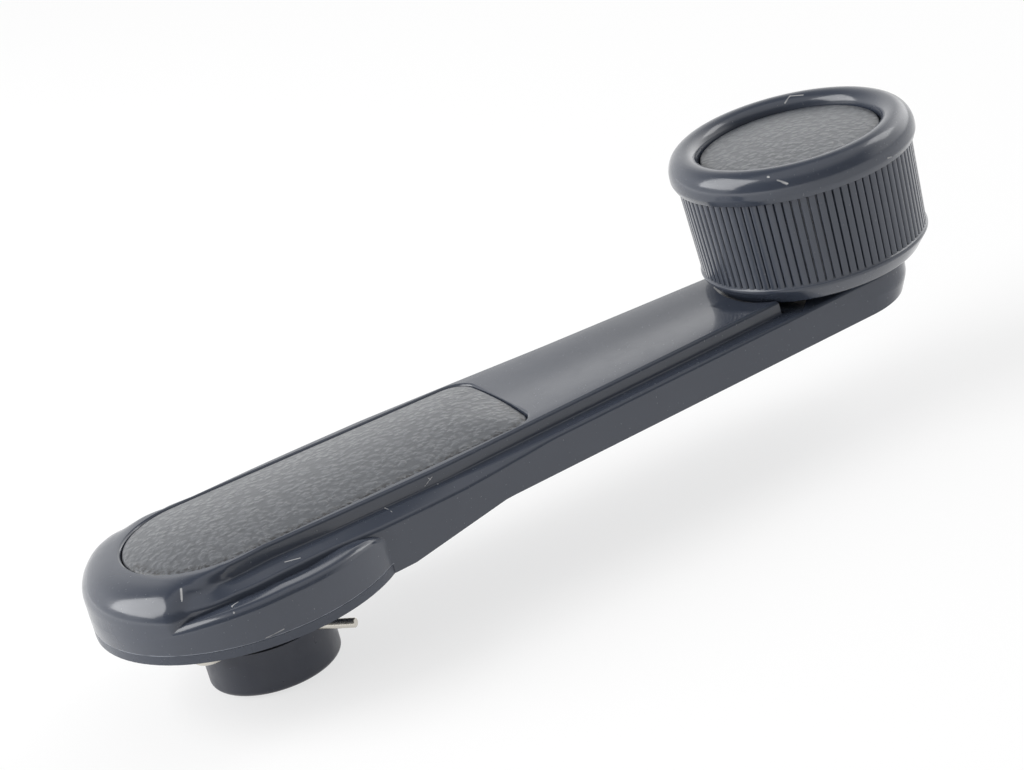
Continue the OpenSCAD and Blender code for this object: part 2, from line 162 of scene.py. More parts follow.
def ring_faces(rings: int, count: int) -> list[list[int]]:
    """Faces between closed rings of points, each ring joined to the next.

    Args:
        rings: Number of rings.
        count: Points in each ring.

    Returns:
        Point numbers of each face.
    """
    return [[k * count + i, k * count + (i + 1) % count, (k + 1) * count + (i + 1) % count,
             (k + 1) * count + i] for k in range(rings - 1) for i in range(count)]


def row_faces(rows: int, count: int) -> list[list[int]]:
    """Faces between open rows of points, each row joined to the next and the last to the first.

    Args:
        rows: Number of rows.
        count: Points in each row.

    Returns:
        Point numbers of each face.
    """
    pairs = [(i * count, (i + 1) % rows * count) for i in range(rows)]
    return [[here + k, there + k, there + k + 1, here + k + 1]
            for here, there in pairs for k in range(count - 1)]


def new_piece(name: str, verts: Iterable[Sequence[float]], faces: Iterable[Sequence[int]],
              sharp_deg: float = 35.0) -> bpy.types.Object:
    """Object made of millimetre points, with shared points merged and faces turned outwards.

    Args:
        name: Name of the piece.
        verts: Points in millimetres.
        faces: Point numbers of each face.
        sharp_deg: Edges that turn by more than this stay sharp.

    Returns:
        The new object, at the origin.
    """
    mesh = bpy.data.meshes.new(name)
    mesh.from_pydata([Vector(v) * MM for v in verts], [], [tuple(f) for f in faces])
    piece = bpy.data.objects.new(name, mesh)
    bpy.context.scene.collection.objects.link(piece)
    clean(piece, sharp_deg)
    return piece


def clean(piece: bpy.types.Object, sharp_deg: float = 35.0) -> None:
    """Merges doubles, drops empty faces, turns faces outwards and shades them smooth.

    Args:
        piece: Object whose mesh is cleaned.
        sharp_deg: Edges that turn by more than this stay sharp.
    """
    work = bmesh.new()
    work.from_mesh(piece.data)
    bmesh.ops.remove_doubles(work, verts=work.verts, dist=MERGE_M)
    bmesh.ops.dissolve_degenerate(work, edges=work.edges, dist=MERGE_M)
    bmesh.ops.recalc_face_normals(work, faces=work.faces)
    work.to_mesh(piece.data)
    work.free()
    piece.data.shade_smooth()
    piece.data.set_sharp_from_angle(angle=math.radians(sharp_deg))


def lathe(name: str, profile: Sequence[Point2], axis: Point2 = (0.0, 0.0), steps: int = 160,
          sharp_deg: float = 35.0) -> bpy.types.Object:
    """Solid turned about an upright axis.

    Args:
        name: Name of the piece.
        profile: Closed outline as radius and height, in millimetres.
        axis: Where the axis stands, in millimetres.
        steps: Faces round the axis.
        sharp_deg: Edges that turn by more than this stay sharp.

    Returns:
        The new object.
    """
    count = len(profile)
    verts = [(axis[0] + r * math.cos(a), axis[1] + r * math.sin(a), z)
             for a in (2 * math.pi * i / steps for i in range(steps)) for r, z in profile]
    faces = []
    for i in range(steps):
        here, there = i * count, (i + 1) % steps * count
        for k in range(count):
            ahead = (k + 1) % count
            on_axis = profile[k][0] < ON_AXIS_MM, profile[ahead][0] < ON_AXIS_MM
            if all(on_axis):
                continue
            faces.append([here + k, there + k, there + ahead, here + ahead])
    return new_piece(name, verts, faces, sharp_deg)


def puck(name: str, radius: float, high: float) -> bpy.types.Object:
    """Plain round solid on the hub's axis, from height 0 up."""
    return lathe(name, ((0.0, 0.0), (radius, 0.0), (radius, high), (0.0, high)))


def carve(piece: bpy.types.Object, tool: bpy.types.Object, operation: str = "DIFFERENCE") -> None:
    """Applies a Boolean between two closed meshes and removes the tool.

    Args:
        piece: Object that keeps the result.
        tool: Object that cuts or joins, and is removed.
        operation: DIFFERENCE, UNION or INTERSECT.
    """
    modifier = piece.modifiers.new("carve", "BOOLEAN")
    modifier.operation = operation
    modifier.solver = "MANIFOLD"
    modifier.object = tool
    graph = bpy.context.evaluated_depsgraph_get()
    result = bpy.data.meshes.new_from_object(piece.evaluated_get(graph), depsgraph=graph)
    piece.modifiers.clear()
    old = piece.data
    piece.data = result
    result.name = piece.name
    bpy.data.meshes.remove(old)
    bpy.data.objects.remove(tool)


def low_of(node: str) -> float:
    """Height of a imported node's underside, in millimetres."""
    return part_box(node)[0].z / MM


def top_of(node: str) -> float:
    """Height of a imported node's top, in millimetres."""
    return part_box(node)[1].z / MM


@dataclass(frozen=True)
class Levels:
    """Heights in millimetres that the pieces share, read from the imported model."""

    flange_low: float
    cover_top: float
    seat: float
    arm_top: float
    knob_low: float
    rim_low: float
    rim_top: float

    @classmethod
    def read(cls) -> "Levels":
        """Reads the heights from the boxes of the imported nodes.

        Returns:
            The heights.
        """
        flange_low = low_of("back_cover")
        return cls(flange_low=flange_low, cover_top=flange_low + COVER_T, seat=low_of("thrust_washer"),
                   arm_top=top_of("arm_shell"), knob_low=low_of("knob_body"),
                   rim_low=top_of("knob_body"), rim_top=top_of("knob_cap"))


class Body(Enum):
    """Bodies that pieces ride on."""

    CRANK = "crank"
    KNOB = "knob"
    CLIP = "clip"


class Graph:
    """Short way to build a node tree."""

    def __init__(self, tree: bpy.types.NodeTree) -> None:
        """Wraps a tree.

        Args:
            tree: Tree that nodes are added to.
        """
        self.tree = tree

    def add(self, kind: str, inputs: Optional[dict[Union[str, int], Value]] = None,
            **settings: Union[str, bool]) -> bpy.types.Node:
        """Adds a node.

        Args:
            kind: Blender's name for the node's type.
            inputs: Values or sockets for its inputs, by name or number.
            **settings: Attributes of the node.

        Returns:
            The node.
        """
        node = self.tree.nodes.new(kind)
        for key, value in settings.items():
            setattr(node, key, value)
        for key, value in (inputs or {}).items():
            self.put(value, node.inputs[key])
        return node

    def put(self, value: Value, socket: bpy.types.NodeSocket) -> None:
        """Links a socket to an input, or sets the input's value.

        Args:
            value: Socket or plain value.
            socket: Input that takes it.
        """
        if isinstance(value, bpy.types.NodeSocket):
            self.tree.links.new(value, socket)
        else:
            socket.default_value = value

    def shade(self, values: dict[str, Value]) -> None:
        """Links or sets inputs of the tree's own shader.

        Args:
            values: Sockets or plain values by the input's name.
        """
        shader = self.tree.nodes["Principled BSDF"]
        for name, value in values.items():
            self.put(value, shader.inputs[name])

    def math(self, operation: str, *values: Value, clamp: bool = False) -> bpy.types.NodeSocket:
        """Result of a Math node on sockets or numbers.

        Args:
            operation: Blender's name for the operation.
            *values: Sockets or numbers.
            clamp: Whether the result is kept from 0 to 1.

        Returns:
            The result's socket.
        """
        node = self.add("ShaderNodeMath", dict(enumerate(values)), operation=operation, use_clamp=clamp)
        return node.outputs[0]

    def times(self, a: Value, b: Value) -> bpy.types.NodeSocket:
        """Product of two sockets or numbers."""
        return self.math("MULTIPLY", a, b)

    def vector(self, operation: str, *values: Value) -> bpy.types.NodeSocket:
        """Result of a Vector Math node on sockets or vectors."""
        node = self.add("ShaderNodeVectorMath", dict(enumerate(values)), operation=operation)
        return node.outputs["Value" if operation in ("DISTANCE", "DOT_PRODUCT") else "Vector"]

    def scaled(self, vector: Value, scale: Value) -> bpy.types.NodeSocket:
        """Vector made longer or shorter."""
        return self.add("ShaderNodeVectorMath", {0: vector, "Scale": scale}, operation="SCALE").outputs[0]

    def parts(self, vector: bpy.types.NodeSocket) -> bpy.types.bpy_prop_collection:
        """X, Y and Z of a vector."""
        return self.add("ShaderNodeSeparateXYZ", {0: vector}).outputs

    def ramp(self, value: bpy.types.NodeSocket, low: float, high: float,
             to_low: float = 0.0, to_high: float = 1.0) -> bpy.types.NodeSocket:
        """Value carried smoothly from one range to another.

        Args:
            value: Socket to read.
            low: Value that becomes to_low.
            high: Value that becomes to_high.
            to_low: Result at low.
            to_high: Result at high.

        Returns:
            The result's socket.
        """
        node = self.add("ShaderNodeMapRange", {0: value, 1: low, 2: high, 3: to_low, 4: to_high},
                        interpolation_type="SMOOTHSTEP")
        return node.outputs[0]

    def noise(self, place: bpy.types.NodeSocket, scale: float, detail: float = 3.0,
              distortion: float = 0.0) -> bpy.types.NodeSocket:
        """Noise at a place, about 0.5 on average.

        Args:
            place: Socket with the place.
            scale: Waves in each metre.
            detail: How many finer layers it has.
            distortion: How much it is stirred.

        Returns:
            The noise's socket.
        """
        node = self.add("ShaderNodeTexNoise",
                        {"Vector": place, "Scale": scale, "Detail": detail, "Distortion": distortion})
        return node.outputs["Fac"]

    def mix(self, share: Value, a: Value, b: Value) -> bpy.types.NodeSocket:
        """Colour a share of the way from one to another.

        Args:
            share: Socket or number from 0 to 1.
            a: Colour at 0.
            b: Colour at 1.

        Returns:
            The colour's socket.
        """
        node = self.add("ShaderNodeMix", data_type="RGBA")
        for value, index in ((share, 0), (a, 6), (b, 7)):
            if isinstance(value, tuple) and len(value) == 3:
                value = (*value, 1.0)
            self.put(value, node.inputs[index])
        return node.outputs[2]

    def bump(self, height: bpy.types.NodeSocket, distance: float, strength: float = 1.0,
             normal: Optional[bpy.types.NodeSocket] = None) -> bpy.types.NodeSocket:
        """Normal tilted by a height.

        Args:
            height: Socket with the height, as a share of distance.
            distance: Height in metres where the socket reads 1.
            strength: Share of the tilt that is kept.
            normal: Normal that is tilted, where it isn't the surface's own.

        Returns:
            The normal's socket.
        """
        inputs = {"Height": height, "Distance": distance, "Strength": strength}
        if normal is not None:
            inputs["Normal"] = normal
        return self.add("ShaderNodeBump", inputs).outputs[0]


@dataclass(frozen=True)
class Mark:
    """A pale mark of wear, from one pixel of the photograph to another."""

    start_px: Point2
    end_px: Point2
    width: float
    shade: float


MARKS = {
    "shoulder_nick": Mark((181, 589), (182, 601), width=0.25, shade=0.60),
    "brow_tick": Mark((238, 602), (232, 606), width=0.20, shade=0.60),
    "brow_tick_tail": Mark((232, 606), (234, 613), width=0.18, shade=0.50),
    "ledge_dash": Mark((285, 562), (300, 558), width=0.16, shade=0.50),
    "ledge_fleck": Mark((385, 508), (392, 512), width=0.16, shade=0.50),
    "lip_cross_up": Mark((425, 486), (432, 477), width=0.14, shade=0.50),
    "lip_cross_down": Mark((428, 478), (438, 484), width=0.14, shade=0.50),
    "rim_scuff": Mark((768, 177), (788, 184), width=0.30, shade=0.55),
    "crest_tick": Mark((785, 103), (790, 96), width=0.20, shade=0.45),
    "crest_tick_tail": Mark((790, 96), (803, 95), width=0.18, shade=0.45),
    "rim_chip": Mark((888, 158), (903, 151), width=0.24, shade=0.30),
    "flange_hair": Mark((264, 639), (284, 629), width=0.12, shade=0.35),
}


@dataclass(frozen=True)
class Scratch:
    """A pale scratch between two places on the surface, in metres."""

    start: Vector
    end: Vector
    width: float
    shade: float
    breaks: float = 900.0
    worn: Point2 = (1.4, -0.4)
    edge: float = 0.35

    def mask(self, graph: Graph, place: bpy.types.NodeSocket) -> bpy.types.NodeSocket:
        """Share of scratch at a place.

        Args:
            graph: Tree to build in.
            place: Object coordinates, in metres.

        Returns:
            A socket from 0 to 1, worked from the distance to the line.
        """
        width = self.width * MM
        span = self.end - self.start
        away = graph.vector("SUBTRACT", place, self.start)
        share = graph.math("DIVIDE", graph.vector("DOT_PRODUCT", away, span), span.length_squared, clamp=True)
        far = graph.vector("DISTANCE", away, graph.scaled(span, share))
        wobble = graph.noise(place, self.breaks, 2.0)
        kept = graph.math("MULTIPLY_ADD", wobble, width * self.worn[0], width * self.worn[1])
        return graph.times(graph.ramp(far, 0.0, width, 1.0, 0.0),
                           graph.math("GREATER_THAN", kept, graph.times(far, self.edge)))


@dataclass(frozen=True)
class Finish:
    """A finish's name and main colour. Its pattern lies on Object coordinates."""

    name: str
    colour: Colour

    def start(self) -> tuple[bpy.types.Material, Graph, bpy.types.NodeSocket]:
        """Starts the material.

        Returns:
            The material, the builder of its tree and its Object coordinates.
        """
        made = bpy.data.materials.new(self.name)
        made.use_nodes = True
        graph = Graph(made.node_tree)
        return made, graph, graph.add("ShaderNodeTexCoord").outputs["Object"]


@dataclass(frozen=True)
class Moulding(Finish):
    """Glossy moulded plastic, handled and lightly scratched, with a pale parting line that is partly a painted
    highlight.
    """

    worn: Colour
    roughness: float = 0.2
    gloss: float = 0.35
    scratches: tuple[Scratch, ...] = ()
    parting: Optional[Point2] = None
    speck_colour: Colour = (0.35, 0.36, 0.38)
    # pale colour of the parting line, partly a painted highlight
    parting_highlight_colour: Colour = (0.20, 0.22, 0.26)

    def material(self) -> bpy.types.Material:
        """Builds the material.

        Returns:
            The material, with its scratches and parting line.
        """
        made, graph, place = self.start()
        cloud = graph.noise(place, 45.0, 4.0)
        haze = graph.noise(place, 260.0, 5.0, 0.6)
        speck = graph.ramp(graph.noise(place, 2600.0, 2.0), 0.70, 0.78)
        colour = graph.mix(graph.ramp(cloud, 0.35, 0.7), self.colour, self.worn)
        colour = graph.mix(graph.times(speck, 0.25), colour, self.speck_colour)
        rough = graph.math("ADD", graph.ramp(haze, 0.3, 0.75, self.roughness * 0.75, self.roughness * 1.35),
                           graph.times(speck, 0.15))
        for scratch in self.scratches:
            mask = scratch.mask(graph, place)
            colour = graph.mix(graph.times(mask, 0.95), colour, (scratch.shade,) * 3)
            rough = graph.math("ADD", rough, graph.times(mask, 0.3))
        # pale parting line round the flange: a real line, lightened as a painted highlight
        if self.parting:
            line = self.parting_highlight_line(graph, place)
            colour = graph.mix(line, colour, self.parting_highlight_colour)
            rough = graph.math("ADD", rough, graph.times(line, 0.2))
        ripple = graph.bump(graph.noise(place, 110.0, 2.0), 0.00010, 0.35)
        graph.shade({"Base Color": colour, "Roughness": rough,
                     "Normal": graph.bump(haze, 0.00002, 0.5, ripple),
                     "IOR": 1.5, "Coat Weight": self.gloss, "Coat Roughness": 0.07})
        return made

    def parting_highlight_line(self, graph: Graph, place: bpy.types.NodeSocket) -> bpy.types.NodeSocket:
        """Share of the pale parting line round the flange, at a place. Its pale colour is partly a painted
        highlight.

        Args:
            graph: Tree to build in.
            place: Object coordinates, in metres.

        Returns:
            A socket from 0 to 1, near the line's height and radius.
        """
        height, radius = (v * MM for v in self.parting)
        x, y, z = graph.parts(place)
        off = graph.math("ABSOLUTE", graph.math("SUBTRACT", z, height))
        out = graph.math("SQRT", graph.math("ADD", graph.times(x, x), graph.times(y, y)))
        near = graph.times(graph.math("GREATER_THAN", out, radius - 0.4 * MM),
                           graph.math("LESS_THAN", out, radius + 0.2 * MM))
        broken = graph.ramp(graph.noise(place, 300.0, 3.0), 0.35, 0.6, 0.25, 1.0)
        return graph.times(graph.times(near, broken), graph.ramp(off, 0.02 * MM, 0.11 * MM, 1.0, 0.0))


@dataclass(frozen=True)
class Grain(Finish):
    """Dull vinyl with a pressed leather grain whose creases are painted darker as painted shade, and rough torn
    edges.
    """

    crease_shade: Colour
    cell: float = 1.0
    torn_colour: Colour = (0.012, 0.012, 0.014)

    def material(self) -> bpy.types.Material:
        """Builds the material.

        Returns:
            The material, with its edges read from an attribute.
        """
        made, graph, place = self.start()
        scale = 1.0 / (self.cell * MM)
        warp = graph.add("ShaderNodeTexNoise", {"Vector": place, "Scale": scale * 0.8, "Detail": 3.0})
        bent = graph.vector("ADD", place, graph.scaled(warp.outputs["Color"], self.cell * MM * 1.3))
        cells = graph.add("ShaderNodeTexVoronoi", {"Vector": bent, "Scale": scale, "Smoothness": 0.6},
                          feature="SMOOTH_F1")
        pebble = graph.ramp(cells.outputs["Distance"], 0.15, 0.75, 1.0, 0.0)
        worn = graph.ramp(graph.noise(place, scale * 0.45, 3.0), 0.35, 0.65, 0.55, 1.0)
        fine = graph.noise(place, scale * 4.0, 3.0)
        height = graph.math("MULTIPLY_ADD", fine, 0.25, graph.times(pebble, worn))
        # creases between the pebbles take the darker colour: painted shade in the creases
        colour = graph.mix(graph.ramp(pebble, 0.05, 0.6), self.crease_shade, self.colour)
        edge = graph.add("ShaderNodeAttribute", attribute_name="edge").outputs["Fac"]
        torn = graph.times(edge, graph.ramp(graph.noise(place, 1500.0, 3.0), 0.42, 0.58))
        graph.shade({"Base Color": graph.mix(torn, colour, self.torn_colour),
                     "Roughness": graph.ramp(height, 0.2, 1.1, 0.50, 0.30),
                     "Normal": graph.bump(height, 0.00022),
                     "IOR": 1.5, "Coat Weight": 0.9, "Coat Roughness": 0.36})
        return made


@dataclass(frozen=True)
class Metal(Finish):
    """Turned, pressed or drawn metal with fine tool marks."""

    roughness: float = 0.3
    grain: float = 1800.0
    stain: float = 0.35
    dulling: float = 0.55

    def material(self) -> bpy.types.Material:
        """Builds the material.

        Returns:
            The material, with its tool marks and stains.
        """
        made, graph, place = self.start()
        drawn = graph.add("ShaderNodeMapping", {"Vector": place, "Scale": (1.0, 1.0, 6.0)}).outputs[0]
        marks = graph.noise(drawn, self.grain, 4.0)
        cloud = graph.ramp(graph.noise(place, 190.0, 4.0, 0.8), 0.42, 0.72)
        dull = tuple(c * self.dulling for c in self.colour)
        graph.shade({"Base Color": graph.mix(graph.times(cloud, self.stain), self.colour, dull),
                     "Roughness": graph.ramp(marks, 0.3, 0.7, self.roughness * 0.75, self.roughness * 1.4),
                     "Normal": graph.bump(marks, 0.000008, 0.6), "Metallic": 1.0})
        return made


@dataclass(frozen=True)
class Acetal(Finish):
    """Pale, slightly waxy bearing plastic."""

    grease_colour: Colour = (0.42, 0.36, 0.24)

    def material(self) -> bpy.types.Material:
        """Builds the material.

        Returns:
            The material, with its smears of grease.
        """
        made, graph, place = self.start()
        grease = graph.ramp(graph.noise(place, 240.0, 3.0, 1.0), 0.55, 0.7)
        graph.shade({"Base Color": graph.mix(grease, self.colour, self.grease_colour),
                     "Roughness": graph.math("MULTIPLY_ADD", grease, -0.2, 0.45)})
        return made


class Finishes:
    """Every finish on the handle, made once and given out by the record's slot."""

    def __init__(self, scratches: Sequence[Scratch]) -> None:
        """Makes the materials.

        Args:
            scratches: Scratches on the slate moulding.
        """
        by_slot: dict[str, Finish] = {
            "moulding": Moulding("slate_moulding", (0.045, 0.054, 0.076), (0.051, 0.060, 0.082),
                                 scratches=tuple(scratches), parting=(15.3, 24.0)),
            "dark_moulding": Moulding("cover_moulding", (0.041, 0.050, 0.072), (0.047, 0.056, 0.078),
                                      0.3, 0.1),
            "boss_moulding": Moulding("boss_moulding", (0.027, 0.032, 0.050), (0.033, 0.038, 0.056),
                                      0.36, 0.1),
            # second colour: the grain's creases, painted darker as painted shade
            "grained_insert": Grain("leather_grain", (0.092, 0.100, 0.113), (0.066, 0.073, 0.084)),
            "bright_wire": Metal("bright_wire", (0.66, 0.63, 0.57), 0.22, 900.0, 0.5),
            "spring_steel": Metal("blued_spring", (0.20, 0.21, 0.24), 0.28),
            "steel": Metal("pressed_steel", (0.52, 0.53, 0.54)),
            "zinc_steel": Metal("zinc_plate", (0.66, 0.66, 0.60), 0.32),
            "black_screws": Metal("black_oxide", (0.04, 0.04, 0.045), 0.38),
            "cast_zinc": Metal("cast_zinc", (0.46, 0.46, 0.45), 0.42, 700.0, 0.6),
            "pale_plastic": Acetal("acetal", (0.74, 0.70, 0.60)),
        }
        self.by_slot = {slot: finish.material() for slot, finish in by_slot.items()}

    def dress(self, piece: bpy.types.Object, slot: str) -> None:
        """Gives a piece the one finish of a slot.

        Args:
            piece: Object to dress.
            slot: Material slot named in the record.
        """
        piece.data.materials.clear()
        piece.data.materials.append(self.by_slot[slot])

    def place(self, piece: bpy.types.Object, slot: str, body: Body, *nodes: str) -> None:
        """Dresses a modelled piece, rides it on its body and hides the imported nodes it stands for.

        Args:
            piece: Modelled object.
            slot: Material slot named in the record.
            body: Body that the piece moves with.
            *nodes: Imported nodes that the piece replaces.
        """
        self.dress(piece, slot)
        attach(piece, body.value)
        if nodes:
            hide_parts(*nodes)
        LOG.info("%s: %d faces, on %s", piece.name, len(piece.data.polygons), body.value)


@dataclass(frozen=True)
class Outline:
    """Tapered outline with two round ends, both centred on the arm's own line."""

    root_x: float
    root_r: float
    tip_x: float
    tip_r: float

    def points(self, root_steps: int = 180, side_steps: int = 72, tip_steps: int = 40
               ) -> list[tuple[float, float, float, float]]:
        """Points round the outline, counter-clockwise seen from above.

        Args:
            root_steps: Pieces in the hub end's arc.
            side_steps: Pieces along each side.
            tip_steps: Pieces in the tip's arc.

        Returns:
            Each point as x, y and its outward normal's x and y.
        """
        lean = math.asin((self.root_r - self.tip_r) / (self.tip_x - self.root_x))
        top = math.pi / 2 - lean
        made = []
        for k in range(root_steps):
            a = top + (2 * math.pi - 2 * top) * k / root_steps
            made.append((self.root_x, self.root_r, a))
        for k in range(side_steps):
            t = k / side_steps
            made.append((lerp(self.root_x, self.tip_x, t), lerp(self.root_r, self.tip_r, t), -top))
        for k in range(tip_steps):
            made.append((self.tip_x, self.tip_r, lerp(-top, top, k / tip_steps)))
        for k in range(side_steps):
            t = k / side_steps
            made.append((lerp(self.tip_x, self.root_x, t), lerp(self.tip_r, self.root_r, t), top))
        return [(x + r * math.cos(a), r * math.sin(a), math.cos(a), math.sin(a)) for x, r, a in made]


def prism(name: str, outline: Sequence[Point2], low: float, high: float,
          flare: Sequence[Point2] = ()) -> bpy.types.Object:
    """Upright solid over an outline, whose upper edge can flare outwards.

    Args:
        name: Name of the piece.
        outline: Points round the outline, counter-clockwise.
        low: Height of the underside.
        high: Height of the top, before any flare.
        flare: Pairs of outset and height above high, in rising order.

    Returns:
        The new object.
    """
    count = len(outline)
    normals = []
    for i in range(count):
        run = Vector(outline[(i + 1) % count]) - Vector(outline[i - 1])
        normals.append(Vector((run.y, -run.x)).normalized())
    rings = [(0.0, low), (0.0, high)] + [(out, high + rise) for out, rise in flare]
    verts = [(x + normals[i].x * out, y + normals[i].y * out, z)
             for out, z in rings for i, (x, y) in enumerate(outline)]
    faces = ring_faces(len(rings), count)
    faces.append(list(range(count))[::-1])
    faces.append([(len(rings) - 1) * count + i for i in range(count)])
    return new_piece(name, verts, faces)


@dataclass(frozen=True)
class ArmShell:
    """Moulded arm with its round hub flange, raised top, ledge, insert pocket and knob seat.

    The arm's stops pair a place along it with a size, and the flange's stops pair degrees away
    from the arm with a size.
    """

    levels: Levels
    root_back: float = 4.4
    root_r: float = 19.4
    tip_r: float = 12.2
    flange_r: float = 24.0
    seat_r: float = 20.6
    seat_step: float = 0.35
    step_bow: float = 0.006
    step_bow_y: float = -4.0
    step_inset: float = 3.8
    well_r: float = 17.2
    tip_bulge: float = 1.1
    bulge_run: float = 9.0
    dish_depth: float = 0.28
    cavity_wall: float = 2.2
    arm_roof: float = 4.0
    hub_roof: float = 6.0
    pocket_depth: float = 2.0
    pocket_lip: float = 0.45
    pocket_flare: Stops = ((0.04, 0.15), (0.16, 0.32), (0.42, 0.47), (0.5, 1.5))
    seam: float = 0.02
    slack: float = 0.05
    above: float = 2.0
    ledge_drop: float = 2.25
    side_h: float = 2.6
    side_bend: float = 4.0
    dome_bend: float = 9.0
    blend: Point2 = (1.4, 2.0)
    dome_blend: Point2 = (1.1, 3.6)
    far_dome_blend: Point2 = (1.1, 4.5)
    crisp_from: Point2 = (-17.0, -9.0)
    under_rise: Stops = ((19.5, 0.0), (36.5, 2.6))
    foot_in: Stops = ((-12.0, 4.5), (-5.0, 5.2), (0.0, 5.45), (9.5, 4.5), (20.0, 3.7), (29.0, 3.1),
                      (87.0, 2.9))
    far_foot_out: Stops = ((-12.0, 0.8), (-4.0, 0.9), (14.0, 0.9), (46.0, 0.4), (60.0, 0.0))
    brow_in: Stops = ((8.0, 3.5), (15.0, 2.8), (23.0, 2.2), (30.0, 1.8), (37.0, 0.9), (46.0, 0.35))
    brow_bend: Stops = ((0.0, 2.5), (15.0, 1.2), (46.0, 0.6))
    wall_in: Stops = ((-15.0, 0.0), (-8.0, 0.9), (0.0, 1.1), (8.0, 0.8), (16.0, 0.2), (24.0, 0.0))
    wall_drop: Stops = ((-12.0, 1.0), (-8.0, 0.6), (8.0, 0.6), (16.0, 1.0), (30.0, 1.2), (37.0, 0.95),
                        (46.0, 0.4))
    flange_tops: Stops = ((50.0, 6.5), (56.0, 7.25), (63.0, 7.6), (95.0, 7.65), (110.0, 7.15),
                          (120.0, 6.75), (128.0, 6.35), (139.0, 5.7), (150.0, 5.2))
    flange_bend: Stops = ((52.0, 2.8), (64.0, 1.9), (95.0, 1.9), (110.0, 2.7), (130.0, 3.6))
    flange_dip: Stops = ((50.0, 0.3), (64.0, 0.7), (80.0, 1.0), (100.0, 0.9), (118.0, 0.5), (135.0, 0.1))
    far_flange_drop: float = 0.8

    def outline(self, inset: float = 0.0) -> Outline:
        """Outline of the side wall, or one inside it."""
        return Outline(-self.root_back, self.root_r - inset, KNOB_X, self.tip_r - inset)

    def inside(self, inset: float) -> list[Point2]:
        """Points of an outline inside the side wall."""
        return [point[:2] for point in self.outline(inset).points()]

    def under(self, x: float) -> float:
        """Height of the underside at x."""
        return self.levels.flange_low + along(x, self.under_rise)

    def rim_gap(self, x: float, y: float, nx: float, ny: float) -> float:
        """Distance from the side wall out to the flange's rim, along the wall's normal.

        Args:
            x: Place on the side wall.
            y: Place on the side wall.
            nx: The wall's outward normal there.
            ny: The wall's outward normal there.

        Returns:
            The distance, or 0 where the wall stands outside the flange.
        """
        lean = x * nx + y * ny
        inside = lean * lean - x * x - y * y + (self.flange_r - self.seam) ** 2
        return max(0.0, math.sqrt(max(0.0, inside)) - lean)

    def arm_corners(self, x: float, far: bool) -> tuple[Corner, ...]:
        """Corners of the arm's own half section, with its ledge and side wall.

        Args:
            x: Place along the arm.
            far: Whether the place is on the side away from the photo's camera.

        Returns:
            Inset from the side wall, height and radius of each corner.
        """
        top = self.levels.arm_top
        ledge = top - self.ledge_drop
        crisp = ease(x, *self.crisp_from)
        foot = along(x, self.foot_in)
        if far:
            foot -= along(x, self.far_foot_out)
        brow = along(x, ((0.0, foot - 1.0), *self.brow_in))
        bulge = self.tip_bulge * ease(x, KNOB_X, KNOB_X + self.bulge_run)
        return ((0.0, self.under(x), 0.0),
                (-bulge, self.under(x) + self.side_h, self.side_bend),
                (along(x, self.wall_in) - bulge, ledge - along(x, self.wall_drop), 0.8),
                (brow - bulge, ledge - 0.03, along(x, self.brow_bend)),
                (foot, ledge + lerp(0.35, 0.0, crisp), lerp(1.2, 0.25, crisp)),
                (foot + lerp(1.2, 0.1, crisp), top, 0.55),
                (foot + 2.6, top, 0.0))

    def dome_corners(self, x: float, gap: float) -> tuple[Corner, ...]:
        """Corners of the half section round the hub, one convex shoulder down to the rim.

        Args:
            x: Place along the arm.
            gap: Distance from the side wall out to the flange's rim.

        Returns:
            Inset from the side wall, height and radius of each corner.
        """
        top = self.levels.arm_top
        return ((-gap, self.under(x), 0.0),
                (-gap, self.under(x) + self.side_h, self.side_bend),
                (-gap, top - 3.3, self.dome_bend),
                (1.9 - gap, top - 1.15, self.dome_bend),
                (4.1 - gap, top - 0.28, self.dome_bend),
                (6.3 - gap, top, self.dome_bend),
                (8.4 - gap, top, 0.0))

    def section(self, x: float, gap: float, far: bool) -> list[Point2]:
        """Half section of the arm, from the underside up to the raised top.

        Behind the hub it is the dome, and it passes into the arm's own section where the side
        wall nears the flange's rim, first near the underside and last at the top.

        Args:
            x: Place along the arm.
            gap: Distance from the side wall out to the flange's rim.
            far: Whether the place is on the side away from the photo's camera.

        Returns:
            Points as inset from the side wall and height. Each section has as many.
        """
        low = 1.0 - ease(gap, *self.blend)
        high = 1.0 - ease(gap, *(self.far_dome_blend if far else self.dome_blend))
        brow = high if far else (low + high) / 2
        shares = [0.0] * 7 if x > 0.0 else [low] * 3 + [brow] + [high] * 3
        pairs = zip(self.arm_corners(x, far), self.dome_corners(x, gap), shares)
        return rounded([tuple(lerp(a, d, share) for a, d in zip(arm, dome)) for arm, dome, share in pairs])

    def spine(self, x: float) -> float:
        """Nearest place on the arm's middle line to x."""
        return min(max(x, -self.root_back), KNOB_X)

    def dish(self, x: float, share: float) -> float:
        """How far the raised top is dished, at a share of the way in from its edge."""
        return self.dish_depth * ease(share, 0.0, 1.0) * ease(x, 20.0, 60.0)

    def solid(self, inner_steps: int = 10) -> bpy.types.Object:
        """Outside of the arm as one closed mesh, before any cut.

        Args:
            inner_steps: Pieces from the raised top's edge in to the middle line.

        Returns:
            The arm.
        """
        rim = self.outline().points()
        verts: list[Point3] = []
        for x, y, nx, ny in rim:
            cuts = self.section(x, self.rim_gap(x, y, nx, ny), y > 0.0)
            verts += [(x - nx * inset, y - ny * inset, z) for inset, z in cuts]
            edge_x, edge_y, edge_z = verts[-1]
            spine_x = self.spine(x)
            for t in (k / inner_steps for k in range(1, inner_steps + 1)):
                verts.append((lerp(edge_x, spine_x, t), edge_y * (1 - t), edge_z - self.dish(spine_x, t)))
        row = len(verts) // len(rim)
        faces = row_faces(len(rim), row)
        low = len(verts)
        verts += [(self.spine(x), 0.0, self.under(x)) for x, _, _, _ in rim]
        for i in range(len(rim)):
            there = (i + 1) % len(rim)
            faces.append([i * row, low + i, low + there, there * row])
        return new_piece("arm_moulding", verts, faces)

